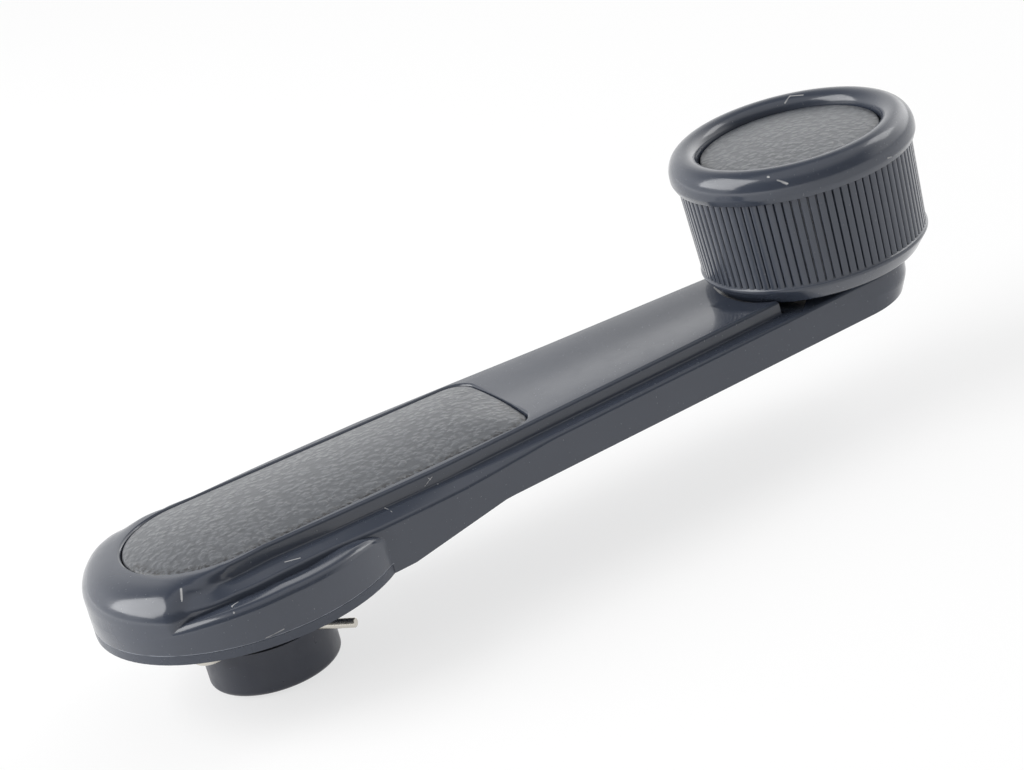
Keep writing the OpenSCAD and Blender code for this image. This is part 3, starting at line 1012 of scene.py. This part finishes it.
    def flange(self, steps: int = 180) -> bpy.types.Object:
        """Round hub flange above the back cover, whose top rises towards the arm.

        Args:
            steps: Faces round the flange.

        Returns:
            The flange.
        """
        low = self.levels.cover_top
        radius = self.flange_r
        verts: list[Point3] = []
        for turn in (2 * math.pi * i / steps for i in range(steps)):
            away = abs(math.degrees(math.remainder(turn, 2 * math.pi)))
            top = self.levels.flange_low + along(away, self.flange_tops)
            top -= self.far_flange_drop * ease(math.sin(turn), 0.2, 0.6)
            inner = top - along(away, self.flange_dip)
            bend = along(away, self.flange_bend)
            profile = rounded(((0.0, low, 0.0), (radius, low, 0.12), (radius, top, bend),
                               (radius - 2.7, top - 0.1, 0.9), (radius - 5.6, inner, 0.0),
                               (0.0, inner, 0.0)), 10)
            verts += [(r * math.cos(turn), r * math.sin(turn), z) for r, z in profile]
        count = len(verts) // steps
        faces = row_faces(steps, count)
        faces.append([i * count + count - 1 for i in range(steps)])
        return new_piece("flange", verts, faces)

    def seat_tools(self) -> tuple[bpy.types.Object, bpy.types.Object]:
        """Cutters for the knob's seat.

        Returns:
            The well under the knob, and the shallow step round it, which fades before the edges.
        """
        seat, top = self.levels.seat, self.levels.arm_top
        over, step = top + self.above, top - self.seat_step
        well = lathe("seat_well", rounded((
            (0.0, seat, 0.0), (self.well_r, seat, 0.3), (self.well_r, over, 0.0), (0.0, over, 0.0)), 5),
            (KNOB_X, 0.0), 200)
        shallow = lathe("seat_step", rounded((
            (0.0, step, 0.0), (self.seat_r, step, 0.15), (self.seat_r + 0.1, top - self.slack, 0.25),
            (self.seat_r + 0.5, top + self.slack, 0.0), (self.seat_r + 0.5, over, 0.0), (0.0, over, 0.0)), 5),
            (KNOB_X, 0.0), 200)
        for vertex in shallow.data.vertices:
            vertex.co.z += self.step_bow * MM * (vertex.co.y / MM - self.step_bow_y) ** 2
        inner = prism("inside_edges", self.inside(self.step_inset), step - 1.0, over + 1.0)
        carve(shallow, inner, "INTERSECT")
        return well, shallow

    def build(self, pocket: "Pocket") -> bpy.types.Object:
        """Joins flange and arm, then cuts the cavity, the insert's pocket and the knob's seat.

        Args:
            pocket: Pocket that the insert lies in.

        Returns:
            The finished shell.
        """
        shell = self.solid()
        top = self.levels.arm_top
        carve(shell, puck("cover_room", self.flange_r + self.slack, self.levels.cover_top))
        carve(shell, self.flange(), "UNION")
        carve(shell, prism("cavity", self.inside(self.cavity_wall), 0.0, top - self.arm_roof))
        carve(shell, puck("flange_cavity", self.flange_r - self.cavity_wall, top - self.hub_roof))
        carve(shell, prism("pocket", pocket.outline(0.0), top - self.pocket_depth, top - self.pocket_lip,
                           self.pocket_flare))
        for tool in self.seat_tools():
            carve(shell, tool)
        clean(shell, 20.0)
        return shell


@dataclass(frozen=True)
class Pocket:
    """Pocket in the arm's top, with one round and one square end, a little wider at the far side."""

    root_back: float = 4.4
    root_w: float = 12.7
    reach: float = 46.2
    tip_w: float = 12.1
    corner_r: float = 4.0
    corner_end: float = -8.0
    bulge: float = 0.4
    side_steps: int = 60
    end_steps: int = 12
    far_share: Stops = ((0.0, 0.08), (46.0, 0.035))

    def outline(self, inset: float, steps: int = 48) -> list[Point2]:
        """Points round the pocket, counter-clockwise.

        Args:
            inset: How far inside the pocket's wall the points lie.
            steps: Pieces in the round end.

        Returns:
            The points.
        """
        made = []
        for a in (math.pi / 2 + math.pi * k / steps for k in range(steps + 1)):
            made.append((-self.root_back + (self.root_w - inset) * math.cos(a),
                         (self.root_w - inset) * math.sin(a)))
        centre_x = self.reach - self.corner_r
        centre_y = self.tip_w - self.corner_r
        near = [(lerp(-self.root_back, centre_x, k / self.side_steps),
                 -(lerp(self.root_w, self.tip_w, k / self.side_steps) - inset))
                for k in range(1, self.side_steps)]
        corner = []
        for a in (math.radians(lerp(-90.0, self.corner_end, k / self.end_steps))
                  for k in range(self.end_steps + 1)):
            corner.append((centre_x + (self.corner_r - inset) * math.cos(a),
                           -centre_y + (self.corner_r - inset) * math.sin(a)))
        last_x, last_y = corner[-1]
        end = []
        for y in (lerp(last_y, 0.0, k / self.end_steps) for k in range(1, self.end_steps)):
            end.append((last_x + self.bulge * (1 - (y / last_y) ** 2), y))
        half = near + corner + end
        tip = (end[-1][0] + 0.01, 0.0)
        made += half + [tip] + [(x, -y) for x, y in reversed(half)]
        return [(x, y * (1 + along(x, self.far_share)) if y > 0 else y) for x, y in made]


@dataclass(frozen=True)
class ArmInsert:
    """Leather-grained insert that lies in the arm's pocket."""

    pocket: Pocket
    low: float
    thickness: float = 1.75
    crown: float = 1.1
    tilt: float = 0.02
    gap: float = 0.15
    spine_back: float = 11.0
    rolled: Stops = ((0.0, 0.45), (0.01, 0.2), (0.028, 0.05))
    crown_steps: int = 16
    near_torn: Point2 = (1.0, 2.1)
    far_torn: Point2 = (0.35, 0.9)

    def build(self) -> bpy.types.Object:
        """Crowned plate with a soft, slightly torn edge.

        Returns:
            The insert, with an attribute that marks its edge.
        """
        border = self.pocket.outline(self.gap)
        spine = (-self.pocket.root_back, self.pocket.reach - self.spine_back)
        rings = [(0.0, 0.0)] + [(share, self.thickness - drop) for share, drop in self.rolled]
        edge = rings[-1][0]
        for share in ((k / self.crown_steps) ** 1.2 for k in range(1, self.crown_steps + 1)):
            rings.append((edge + (1 - edge) * share, self.thickness + self.crown * (1 - (1 - share) ** 2)))
        verts = []
        for share, rise in rings:
            for x, y in border:
                in_x, in_y = lerp(x, min(max(x, spine[0]), spine[1]), share), y * (1 - share)
                verts.append((in_x, in_y, self.low + rise + (self.tilt * in_y if rise > 0 else 0.0)))
        faces = ring_faces(len(rings), len(border))
        faces.append(list(range(len(border)))[::-1])
        piece = new_piece("arm_insert_skin", verts, faces)
        mark_edge(piece, self.edge_share)
        return piece

    def edge_share(self, place: Vector) -> float:
        """How much of the torn edge shows at a place.

        Args:
            place: Place on the insert, in metres.

        Returns:
            A number from 0 to 1.
        """
        border = self.pocket.outline(self.gap, 24)
        gap = min(math.hypot(place.x / MM - x, place.y / MM - y) for x, y in border)
        share, reach = self.near_torn if place.y < 0 else self.far_torn
        return share * (1.0 - ease(gap, reach / 3, reach))


def mark_edge(piece: bpy.types.Object, share: Callable[[Vector], float]) -> None:
    """Stores an edge attribute on a piece's points.

    Args:
        piece: Object to mark.
        share: Gives each point's value from 0 to 1.
    """
    store = piece.data.attributes.new("edge", "FLOAT", "POINT")
    for i, vertex in enumerate(piece.data.vertices):
        store.data[i].value = share(vertex.co)


@dataclass(frozen=True)
class Hub:
    """Boss under the hub, with the two slots that hold the clip."""

    boss_r: float = 10.2
    bush_r: float = 7.85
    foot_r: float = 0.9
    slot_low: float = 7.1
    slot_high: float = 8.7
    slot_in: float = 5.1

    def boss(self) -> bpy.types.Object:
        """Boss with its rounded foot and its slots.

        Returns:
            The boss.
        """
        top = top_of("hub_boss")
        boss = lathe("boss", rounded(((self.bush_r, 0.0, 0.0), (self.boss_r, 0.0, self.foot_r),
                                      (self.boss_r, top, 0.0), (self.bush_r, top, 0.0)), 8), steps=180)
        reach = self.boss_r + 1.0
        for side in (-1.0, 1.0):
            low_y, high_y = sorted((side * self.slot_in, side * reach))
            corners = [(-reach, low_y), (reach, low_y), (reach, high_y), (-reach, high_y)]
            carve(boss, prism("slot", corners, self.slot_low, self.slot_high))
        clean(boss, 30.0)
        return boss


@dataclass(frozen=True)
class Clip:
    """Sprung wire clip with flared ends."""

    wire_r: float = 0.75
    height: float = 7.9
    leg_y: float = 5.98
    back_x: float = -12.4
    corner_r: float = 2.2
    bend_x: float = 0.8
    bend_r: float = 2.0
    flare_deg: float = 49.0
    flare_length: float = 12.2
    sides: int = 20
    bevel: float = 0.12

    def path(self) -> list[Point2]:
        """Centre line of the wire, from the near flared end to the far one.

        Returns:
            Points of the line.
        """
        flare = math.radians(self.flare_deg)
        far = rounded((
            (self.back_x, 0.0, 0.0),
            (self.back_x, self.leg_y, self.corner_r),
            (self.bend_x, self.leg_y, self.bend_r),
            (self.bend_x + self.flare_length * math.cos(flare),
             self.leg_y + self.flare_length * math.sin(flare), 0.0)), 10)
        return [(x, -y) for x, y in reversed(far[1:])] + far

    def build(self) -> bpy.types.Object:
        """Round wire swept along the path, with its ends sheared square.

        Returns:
            The clip.
        """
        path = [Vector(p) for p in self.path()]
        first, last = path[1] - path[0], path[-1] - path[-2]
        end_r = self.wire_r - self.bevel
        stations = [(path[0], first, end_r, 0.0), (path[0], first, self.wire_r, self.bevel)]
        for before, here, after in zip(path, path[1:], path[2:]):
            run = (after - here).normalized() + (here - before).normalized()
            stations.append((here, run, self.wire_r, 0.0))
        stations += [(path[-1], last, self.wire_r, -self.bevel), (path[-1], last, end_r, 0.0)]
        verts: list[Point3] = []
        for centre, run, radius, shift in stations:
            run = run.normalized()
            side = Vector((-run.y, run.x))
            centre = centre + run * shift
            for a in (2 * math.pi * k / self.sides for k in range(self.sides)):
                verts.append((centre.x + side.x * radius * math.cos(a),
                              centre.y + side.y * radius * math.cos(a), self.height + radius * math.sin(a)))
        faces = ring_faces(len(stations), self.sides)
        faces.append(list(range(self.sides))[::-1])
        faces.append([(len(stations) - 1) * self.sides + k for k in range(self.sides)])
        return new_piece("wire_clip", verts, faces)


@dataclass(frozen=True)
class Knob:
    """Turning knob: ribbed body, glossy rim and grained disc."""

    levels: Levels
    base_r: float = 16.3
    base_h: float = 2.9
    rib_low_r: float = 18.3
    rib_top_r: float = 18.9
    rib_sink: float = 0.25
    rib_edge: float = 0.27
    groove_depth: float = 0.9
    groove_w: float = 0.62
    rib_count: int = 88
    sleeve_r: float = 6.05
    post_r: float = 8.0
    mouth_r: float = 8.55
    mouth_h: float = 0.65
    floor_h: float = 2.5
    wall_r: float = 15.9
    rim_r: float = 19.6
    rim_wide_h: float = 1.7
    crest_r: float = 16.9
    crest_drop: float = 1.9
    skirt_r: float = 14.3
    skirt_h: float = 2.5
    shelf_r: float = 12.5
    shelf_h: float = 1.3
    lip_r: float = 14.9
    disc_gap: float = 0.55
    disc_roll: float = 0.4
    disc_rise: float = 1.85
    disc_crown: float = 0.75

    @property
    def rib_z(self) -> float:
        """Height of the ribs' lower ends."""
        return self.levels.knob_low + self.base_h

    def turned(self, name: str, profile: Sequence[Point2], steps: int) -> bpy.types.Object:
        """Solid turned about the knob's own axis."""
        return lathe(name, profile, (KNOB_X, 0.0), steps, 40.0)

    def core(self) -> bpy.types.Object:
        """Knob's body inside its ribs, with the smooth bevelled foot.

        Returns:
            The body.
        """
        low, high, floor = self.levels.knob_low, self.levels.rim_low, self.levels.knob_low + self.floor_h
        groove_low = self.rib_low_r - self.groove_depth
        groove_high = self.rib_top_r - self.groove_depth
        sleeve_top = top_of("knob_bush") - 0.1
        return self.turned("knob_core", rounded((
            (self.sleeve_r, low + self.mouth_h, 0.0), (self.mouth_r, low + self.mouth_h, 0.0),
            (self.mouth_r, low, 0.0), (self.base_r, low, 0.8),
            (self.rib_low_r, self.rib_z - 0.35, 0.8), (self.rib_low_r + 0.02, self.rib_z + 0.1, 0.25),
            (groove_low + 0.04, self.rib_z + 0.75, 0.5), (groove_high, high, 0.0),
            (self.wall_r, high, 0.0), (self.wall_r, floor, 0.5), (self.post_r, floor, 0.5),
            (self.post_r, sleeve_top, 0.0), (self.sleeve_r, sleeve_top, 0.0)), 5), 264)

    def rim(self) -> bpy.types.Object:
        """Glossy rim that overhangs the ribs and frames the disc.

        Returns:
            The rim.
        """
        low = self.levels.rim_low
        skirt, shelf = low - self.skirt_h, low + self.shelf_h
        return self.turned("knob_rim", rounded((
            (self.skirt_r, skirt, 0.0), (self.wall_r - 0.1, skirt, 0.2), (self.wall_r - 0.1, low, 0.0),
            (self.rib_top_r + 0.25, low, 0.18), (self.rim_r, low + 1.0, 1.2), *self.crest(),
            (self.lip_r - 0.45, shelf, 0.0), (self.shelf_r, shelf, 0.0), (self.shelf_r, low, 0.0),
            (self.skirt_r, low, 0.0)), 8), 240)

    def crest(self) -> list[Corner]:
        """Round top of the rim, from its widest place over the crest and down to the disc.

        Returns:
            Sharp corners close enough to read as a curve.
        """
        top = self.levels.rim_top
        rise = top - self.levels.rim_low - self.rim_wide_h
        outer = [(lerp(self.crest_r, self.rim_r, math.cos(a)), top - rise * (1 - math.sin(a)), 0.0)
                 for a in (math.pi / 2 * k / 14 for k in range(15))]
        inner = [(lerp(self.crest_r, self.lip_r - 0.3, math.sin(a)),
                  top - self.crest_drop * (1 - math.cos(a)), 0.0)
                 for a in (math.pi / 2 * k / 10 for k in range(1, 11))]
        return outer + inner

    def disc(self) -> bpy.types.Object:
        """Grained disc, crowned and rolled over at its edge.

        Returns:
            The disc, with an attribute that marks its edge.
        """
        low = low_of("knob_insert")
        top = low + self.disc_rise
        edge = self.lip_r - self.disc_gap
        flat = edge - self.disc_roll
        profile = [(0.0, low), (edge, low), (edge, top - self.disc_roll), (edge - 0.12, top - 0.15),
                   (flat, top)]
        for r in (flat * (1 - k / 12) for k in range(1, 13)):
            profile.append((r, top + self.disc_crown * (1 - (r / edge) ** 2)))
        disc = lathe("knob_disc", profile, (KNOB_X, 0.0))
        mark_edge(disc, lambda p: ease(math.hypot(p.x / MM - KNOB_X, p.y / MM), edge - 0.9, edge - 0.1))
        return disc

    def ribs(self, material: bpy.types.Material) -> bpy.types.Object:
        """Ring of ribs, made by Geometry Nodes and turned into a plain mesh.

        Args:
            material: Finish set inside the tree.

        Returns:
            The ribs as one object.
        """
        carrier = bpy.data.objects.new("knob_ribs", bpy.data.meshes.new("knob_ribs"))
        bpy.context.scene.collection.objects.link(carrier)
        modifier = carrier.modifiers.new("ribs", "NODES")
        modifier.node_group = rib_tree(material)
        pitch = 2 * math.pi * (self.rib_low_r + self.rib_top_r) / 2 / self.rib_count
        depth = self.groove_depth + self.rib_sink
        sizes = {
            "Count": self.rib_count,
            "Width": (pitch - self.groove_w) * MM,
            "Depth": depth * MM,
            "Low": ((self.rib_low_r - depth / 2) * MM, 0.0, (self.rib_z - 0.1) * MM),
            "High": ((self.rib_top_r - depth / 2) * MM, 0.0, (self.levels.rim_low - 0.01) * MM),
            "Axis": (KNOB_X * MM, 0.0, 0.0),
            "Edge": self.rib_edge * MM,
        }
        for item in modifier.node_group.interface.items_tree:
            if item.in_out == "INPUT":
                modifier[item.identifier] = sizes[item.name]
        graph = bpy.context.evaluated_depsgraph_get()
        mesh = bpy.data.meshes.new_from_object(carrier.evaluated_get(graph), depsgraph=graph)
        carrier.modifiers.clear()
        carrier.data = mesh
        mesh.set_sharp_from_angle(angle=math.radians(50.0))
        return carrier


def rib_tree(material: bpy.types.Material) -> bpy.types.NodeTree:
    """Geometry Nodes tree for a ring of upright ribs with rounded edges.

    Args:
        material: Finish of the ribs.

    Returns:
        The tree, with named inputs for its sizes.
    """
    tree = bpy.data.node_groups.new("rib_ring", "GeometryNodeTree")
    kinds = {"NodeSocketInt": ("Count",), "NodeSocketFloat": ("Width", "Depth", "Edge"),
             "NodeSocketVector": ("Low", "High", "Axis")}
    for kind, names in kinds.items():
        for name in names:
            tree.interface.new_socket(name, in_out="INPUT", socket_type=kind)
    tree.interface.new_socket("Ribs", in_out="OUTPUT", socket_type="NodeSocketGeometry")
    graph = Graph(tree)
    given = graph.add("NodeGroupInput").outputs
    line = graph.add("GeometryNodeCurvePrimitiveLine", {"Start": given["Low"], "End": given["High"]})
    shape = graph.add("GeometryNodeCurvePrimitiveQuadrilateral",
                      {"Width": given["Depth"], "Height": given["Width"]})
    soft = graph.add("GeometryNodeFilletCurve",
                     {"Curve": shape.outputs[0], "Count": 3, "Radius": given["Edge"]}, mode="POLY")
    bar = graph.add("GeometryNodeCurveToMesh",
                    {"Curve": line.outputs[0], "Profile Curve": soft.outputs[0], "Fill Caps": True})
    ring = graph.add("GeometryNodePoints", {"Count": given["Count"], "Position": (0.0, 0.0, 0.0)})
    index = graph.add("GeometryNodeInputIndex").outputs[0]
    turn = graph.math("DIVIDE", graph.times(index, 2 * math.pi), given["Count"])
    angle = graph.add("ShaderNodeCombineXYZ", {"Z": turn}).outputs[0]
    placed = graph.add("GeometryNodeInstanceOnPoints",
                       {"Points": ring.outputs[0], "Instance": bar.outputs[0], "Rotation": angle})
    whole = graph.add("GeometryNodeRealizeInstances", {0: placed.outputs[0]})
    moved = graph.add("GeometryNodeTransform", {"Geometry": whole.outputs[0], "Translation": given["Axis"]})
    smooth = graph.add("GeometryNodeSetShadeSmooth", {"Geometry": moved.outputs[0]})
    dressed = graph.add("GeometryNodeSetMaterial", {"Geometry": smooth.outputs[0], "Material": material})
    graph.add("NodeGroupOutput", {0: dressed.outputs[0]})
    return tree


def seen_share(graph: Graph) -> bpy.types.NodeSocket:
    """1 on rays from the camera or off a gloss, where the background shows, and otherwise 0.

    Args:
        graph: Tree to build in.

    Returns:
        The share's socket.
    """
    path = graph.add("ShaderNodeLightPath").outputs
    seen = graph.math("MAXIMUM", path["Is Camera Ray"], path["Is Glossy Ray"])
    return graph.math("MAXIMUM", seen, path["Is Transmission Ray"])


@dataclass(frozen=True)
class Studio:
    """Camera at the photograph's angle, pale floor, white surroundings and soft lamps."""

    focal_px: float = 3233.0
    frame_w: float = 1024.0
    frame_h: float = 770.0
    sensor: float = 36.0
    azimuth: float = -22.34
    elevation: float = 21.61
    roll: float = -15.65
    distance: float = 496.9
    shift_x: float = 5.800
    shift_y: float = -8.016
    target: Point3 = (52.5, 0.0, 15.0)
    floor_side: float = 2.0
    floor_gap: float = 0.4
    floor_colour: Colour = (0.92, 0.92, 0.92)

    def view(self) -> tuple[Vector, Matrix]:
        """Place and turn of the photograph's camera.

        Returns:
            The place, in metres, and a matrix whose columns point right, up and back.
        """
        az, el, roll = (math.radians(v) for v in (self.azimuth, self.elevation, self.roll))
        back = Vector((math.sin(az) * math.cos(el), -math.cos(az) * math.cos(el), math.sin(el)))
        right = Vector((math.cos(az), math.sin(az), 0.0))
        up = back.cross(right)
        across = right * math.cos(roll) + up * math.sin(roll)
        rise = up * math.cos(roll) - right * math.sin(roll)
        place = Vector(self.target) + back * self.distance - across * self.shift_x - rise * self.shift_y
        return place * MM, Matrix((across, rise, back)).transposed()

    def touched(self, pixel: Point2, surfaces: Sequence[BVHTree]) -> Optional[Vector]:
        """Nearest place on some surfaces under a pixel of the photograph.

        Args:
            pixel: Column and row in the photograph.
            surfaces: Search trees of the pieces.

        Returns:
            The place, in metres, or nothing where the pixel lies beside the pieces.
        """
        place, turn = self.view()
        way = turn @ Vector((pixel[0] - self.frame_w / 2, self.frame_h / 2 - pixel[1], -self.focal_px))
        hits = [surface.ray_cast(place, way.normalized()) for surface in surfaces]
        return min((hit for hit in hits if hit[0]), key=lambda hit: hit[3], default=(None,))[0]

    def scratches(self, pieces: Sequence[bpy.types.Object]) -> list[Scratch]:
        """Scratches on some pieces, where the photograph shows them.

        Args:
            pieces: Modelled pieces that carry the marks.

        Returns:
            One scratch for each mark whose two ends lie on a piece.
        """
        graph = bpy.context.evaluated_depsgraph_get()
        surfaces = [BVHTree.FromObject(piece, graph) for piece in pieces]
        made = []
        for name, mark in MARKS.items():
            start, end = self.touched(mark.start_px, surfaces), self.touched(mark.end_px, surfaces)
            if start and end:
                made.append(Scratch(start, end, mark.width, mark.shade))
            else:
                LOG.warning("%s lies beside the pieces", name)
        return made

    def camera(self) -> None:
        """Makes the camera."""
        data = bpy.data.cameras.new("camera")
        data.sensor_width = self.sensor
        data.lens = self.focal_px * self.sensor / self.frame_w
        data.clip_start, data.clip_end = 0.01, 20.0
        camera = bpy.data.objects.new("camera", data)
        bpy.context.scene.collection.objects.link(camera)
        place, turn = self.view()
        camera.matrix_world = Matrix.Translation(place) @ turn.to_4x4()
        bpy.context.scene.camera = camera

    def floor(self) -> None:
        """Pale floor under the boss."""
        side, low = self.floor_side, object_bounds()[0].z - self.floor_gap * MM
        mesh = bpy.data.meshes.new("floor")
        mesh.from_pydata([(-side, -side, low), (side, -side, low), (side, side, low), (-side, side, low)],
                         [], [(0, 1, 2, 3)])
        floor = bpy.data.objects.new("floor", mesh)
        bpy.context.scene.collection.objects.link(floor)
        made, graph, place = Finish("pale_floor", self.floor_colour).start()
        graph.shade({"Base Color": (*self.floor_colour, 1.0), "Roughness": 0.9, "Specular IOR Level": 0.0})
        left = graph.ramp(graph.parts(place)[0], -0.3, 0.0, 1.0, 0.0)
        glossy = graph.add("ShaderNodeLightPath").outputs["Is Glossy Ray"]
        strength = graph.math("MULTIPLY_ADD", graph.times(left, glossy), 0.9, 1.0)
        glow = graph.add("ShaderNodeEmission", {"Color": (1.0, 1.0, 1.0, 1.0), "Strength": strength})
        pale = made.node_tree.nodes["Principled BSDF"]
        mixed = graph.add("ShaderNodeMixShader", {0: graph.times(seen_share(graph), 0.7),
                                                  1: pale.outputs[0], 2: glow.outputs[0]})
        graph.put(mixed.outputs[0], made.node_tree.nodes["Material Output"].inputs["Surface"])
        mesh.materials.append(made)
        floor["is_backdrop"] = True

    def lamp(self, name: str, place: Point3, aim: Point3, size: Point2, power: float) -> None:
        """Adds one soft area lamp.

        Args:
            name: Name of the lamp.
            place: Where it hangs, in metres.
            aim: Point that it faces, in metres.
            size: Width and height, in metres.
            power: Power in watts.
        """
        data = bpy.data.lights.new(name, "AREA")
        data.shape = "RECTANGLE"
        data.size, data.size_y = size
        data.energy = power
        lamp = bpy.data.objects.new(name, data)
        bpy.context.scene.collection.objects.link(lamp)
        lamp.location = place
        lamp.rotation_euler = (Vector(aim) - Vector(place)).to_track_quat("-Z", "Y").to_euler()

    def surroundings(self) -> None:
        """White to the camera, and to the object a white sweep behind it under a dim ceiling."""
        world = bpy.data.worlds.new("surroundings")
        bpy.context.scene.world = world
        world.use_nodes = True
        graph = Graph(world.node_tree)
        shader = world.node_tree.nodes["Background"]
        way = graph.add("ShaderNodeTexCoord").outputs["Generated"]
        x, y, z = graph.parts(way)
        path = graph.add("ShaderNodeLightPath").outputs
        sweep = graph.times(graph.ramp(y, -0.2, 0.3), graph.ramp(z, 0.3, 0.95, 1.0, 0.0))
        side = graph.times(graph.ramp(x, 0.5, 0.9), graph.ramp(z, -0.1, 0.1))
        above = graph.times(graph.ramp(y, 0.0, 0.3, 1.0, 0.0), graph.ramp(z, 0.5, 0.85))
        studio = graph.math("MULTIPLY_ADD", side, 1.3, graph.math("MULTIPLY_ADD", sweep, 0.9, 0.12))
        studio = graph.math("MULTIPLY_ADD", graph.times(above, path["Is Glossy Ray"]), 0.7, studio)
        level = graph.math("MULTIPLY_ADD", path["Is Diffuse Ray"], 0.2, studio)
        level = graph.math("MAXIMUM", path["Is Camera Ray"], level)
        graph.put(level, shader.inputs["Strength"])
        shader.inputs["Color"].default_value = (1.0, 1.0, 1.0, 1.0)

    def build(self) -> None:
        """Makes camera, floor, world and lamps."""
        bpy.context.scene.view_settings.view_transform = "Standard"
        self.camera()
        self.floor()
        self.surroundings()
        self.lamp("left", (-0.48, 0.20, 0.47), (0.0, 0.0, 0.02), (0.56, 0.60), 4.75)
        self.lamp("right", (0.66, -0.02, 0.51), (0.03, 0.0, 0.0), (0.30, 0.30), 0.75)


CAD_SLOTS = {entry["node"]: entry["material_slot"] for entry in frame["record"]["subparts"]}


def main() -> None:
    """Builds every sub-assembly in order, then the studio."""
    logging.basicConfig(level=logging.INFO, format="%(name)s %(message)s")
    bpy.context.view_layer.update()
    levels = Levels.read()
    studio, pocket, shell, knob = Studio(), Pocket(), ArmShell(levels), Knob(levels)
    arm, rim = shell.build(pocket), knob.rim()
    finishes = Finishes(studio.scratches((arm, rim)))
    finishes.place(arm, "moulding", Body.CRANK, "arm_shell")
    insert = ArmInsert(pocket, levels.arm_top - shell.pocket_depth).build()
    finishes.place(insert, "grained_insert", Body.CRANK, "arm_insert")
    finishes.place(Hub().boss(), "boss_moulding", Body.CRANK, "hub_boss")
    finishes.place(Clip().build(), "bright_wire", Body.CLIP, "retaining_clip")
    finishes.place(knob.core(), "moulding", Body.KNOB, "knob_body")
    finishes.place(knob.ribs(finishes.by_slot["moulding"]), "moulding", Body.KNOB)
    finishes.place(rim, "moulding", Body.KNOB, "knob_cap")
    finishes.place(knob.disc(), "grained_insert", Body.KNOB, "knob_insert")
    for name, node in frame["nodes"].items():
        finishes.dress(node, CAD_SLOTS[name])
    studio.build()


if __name__ == "__main__":
    main()
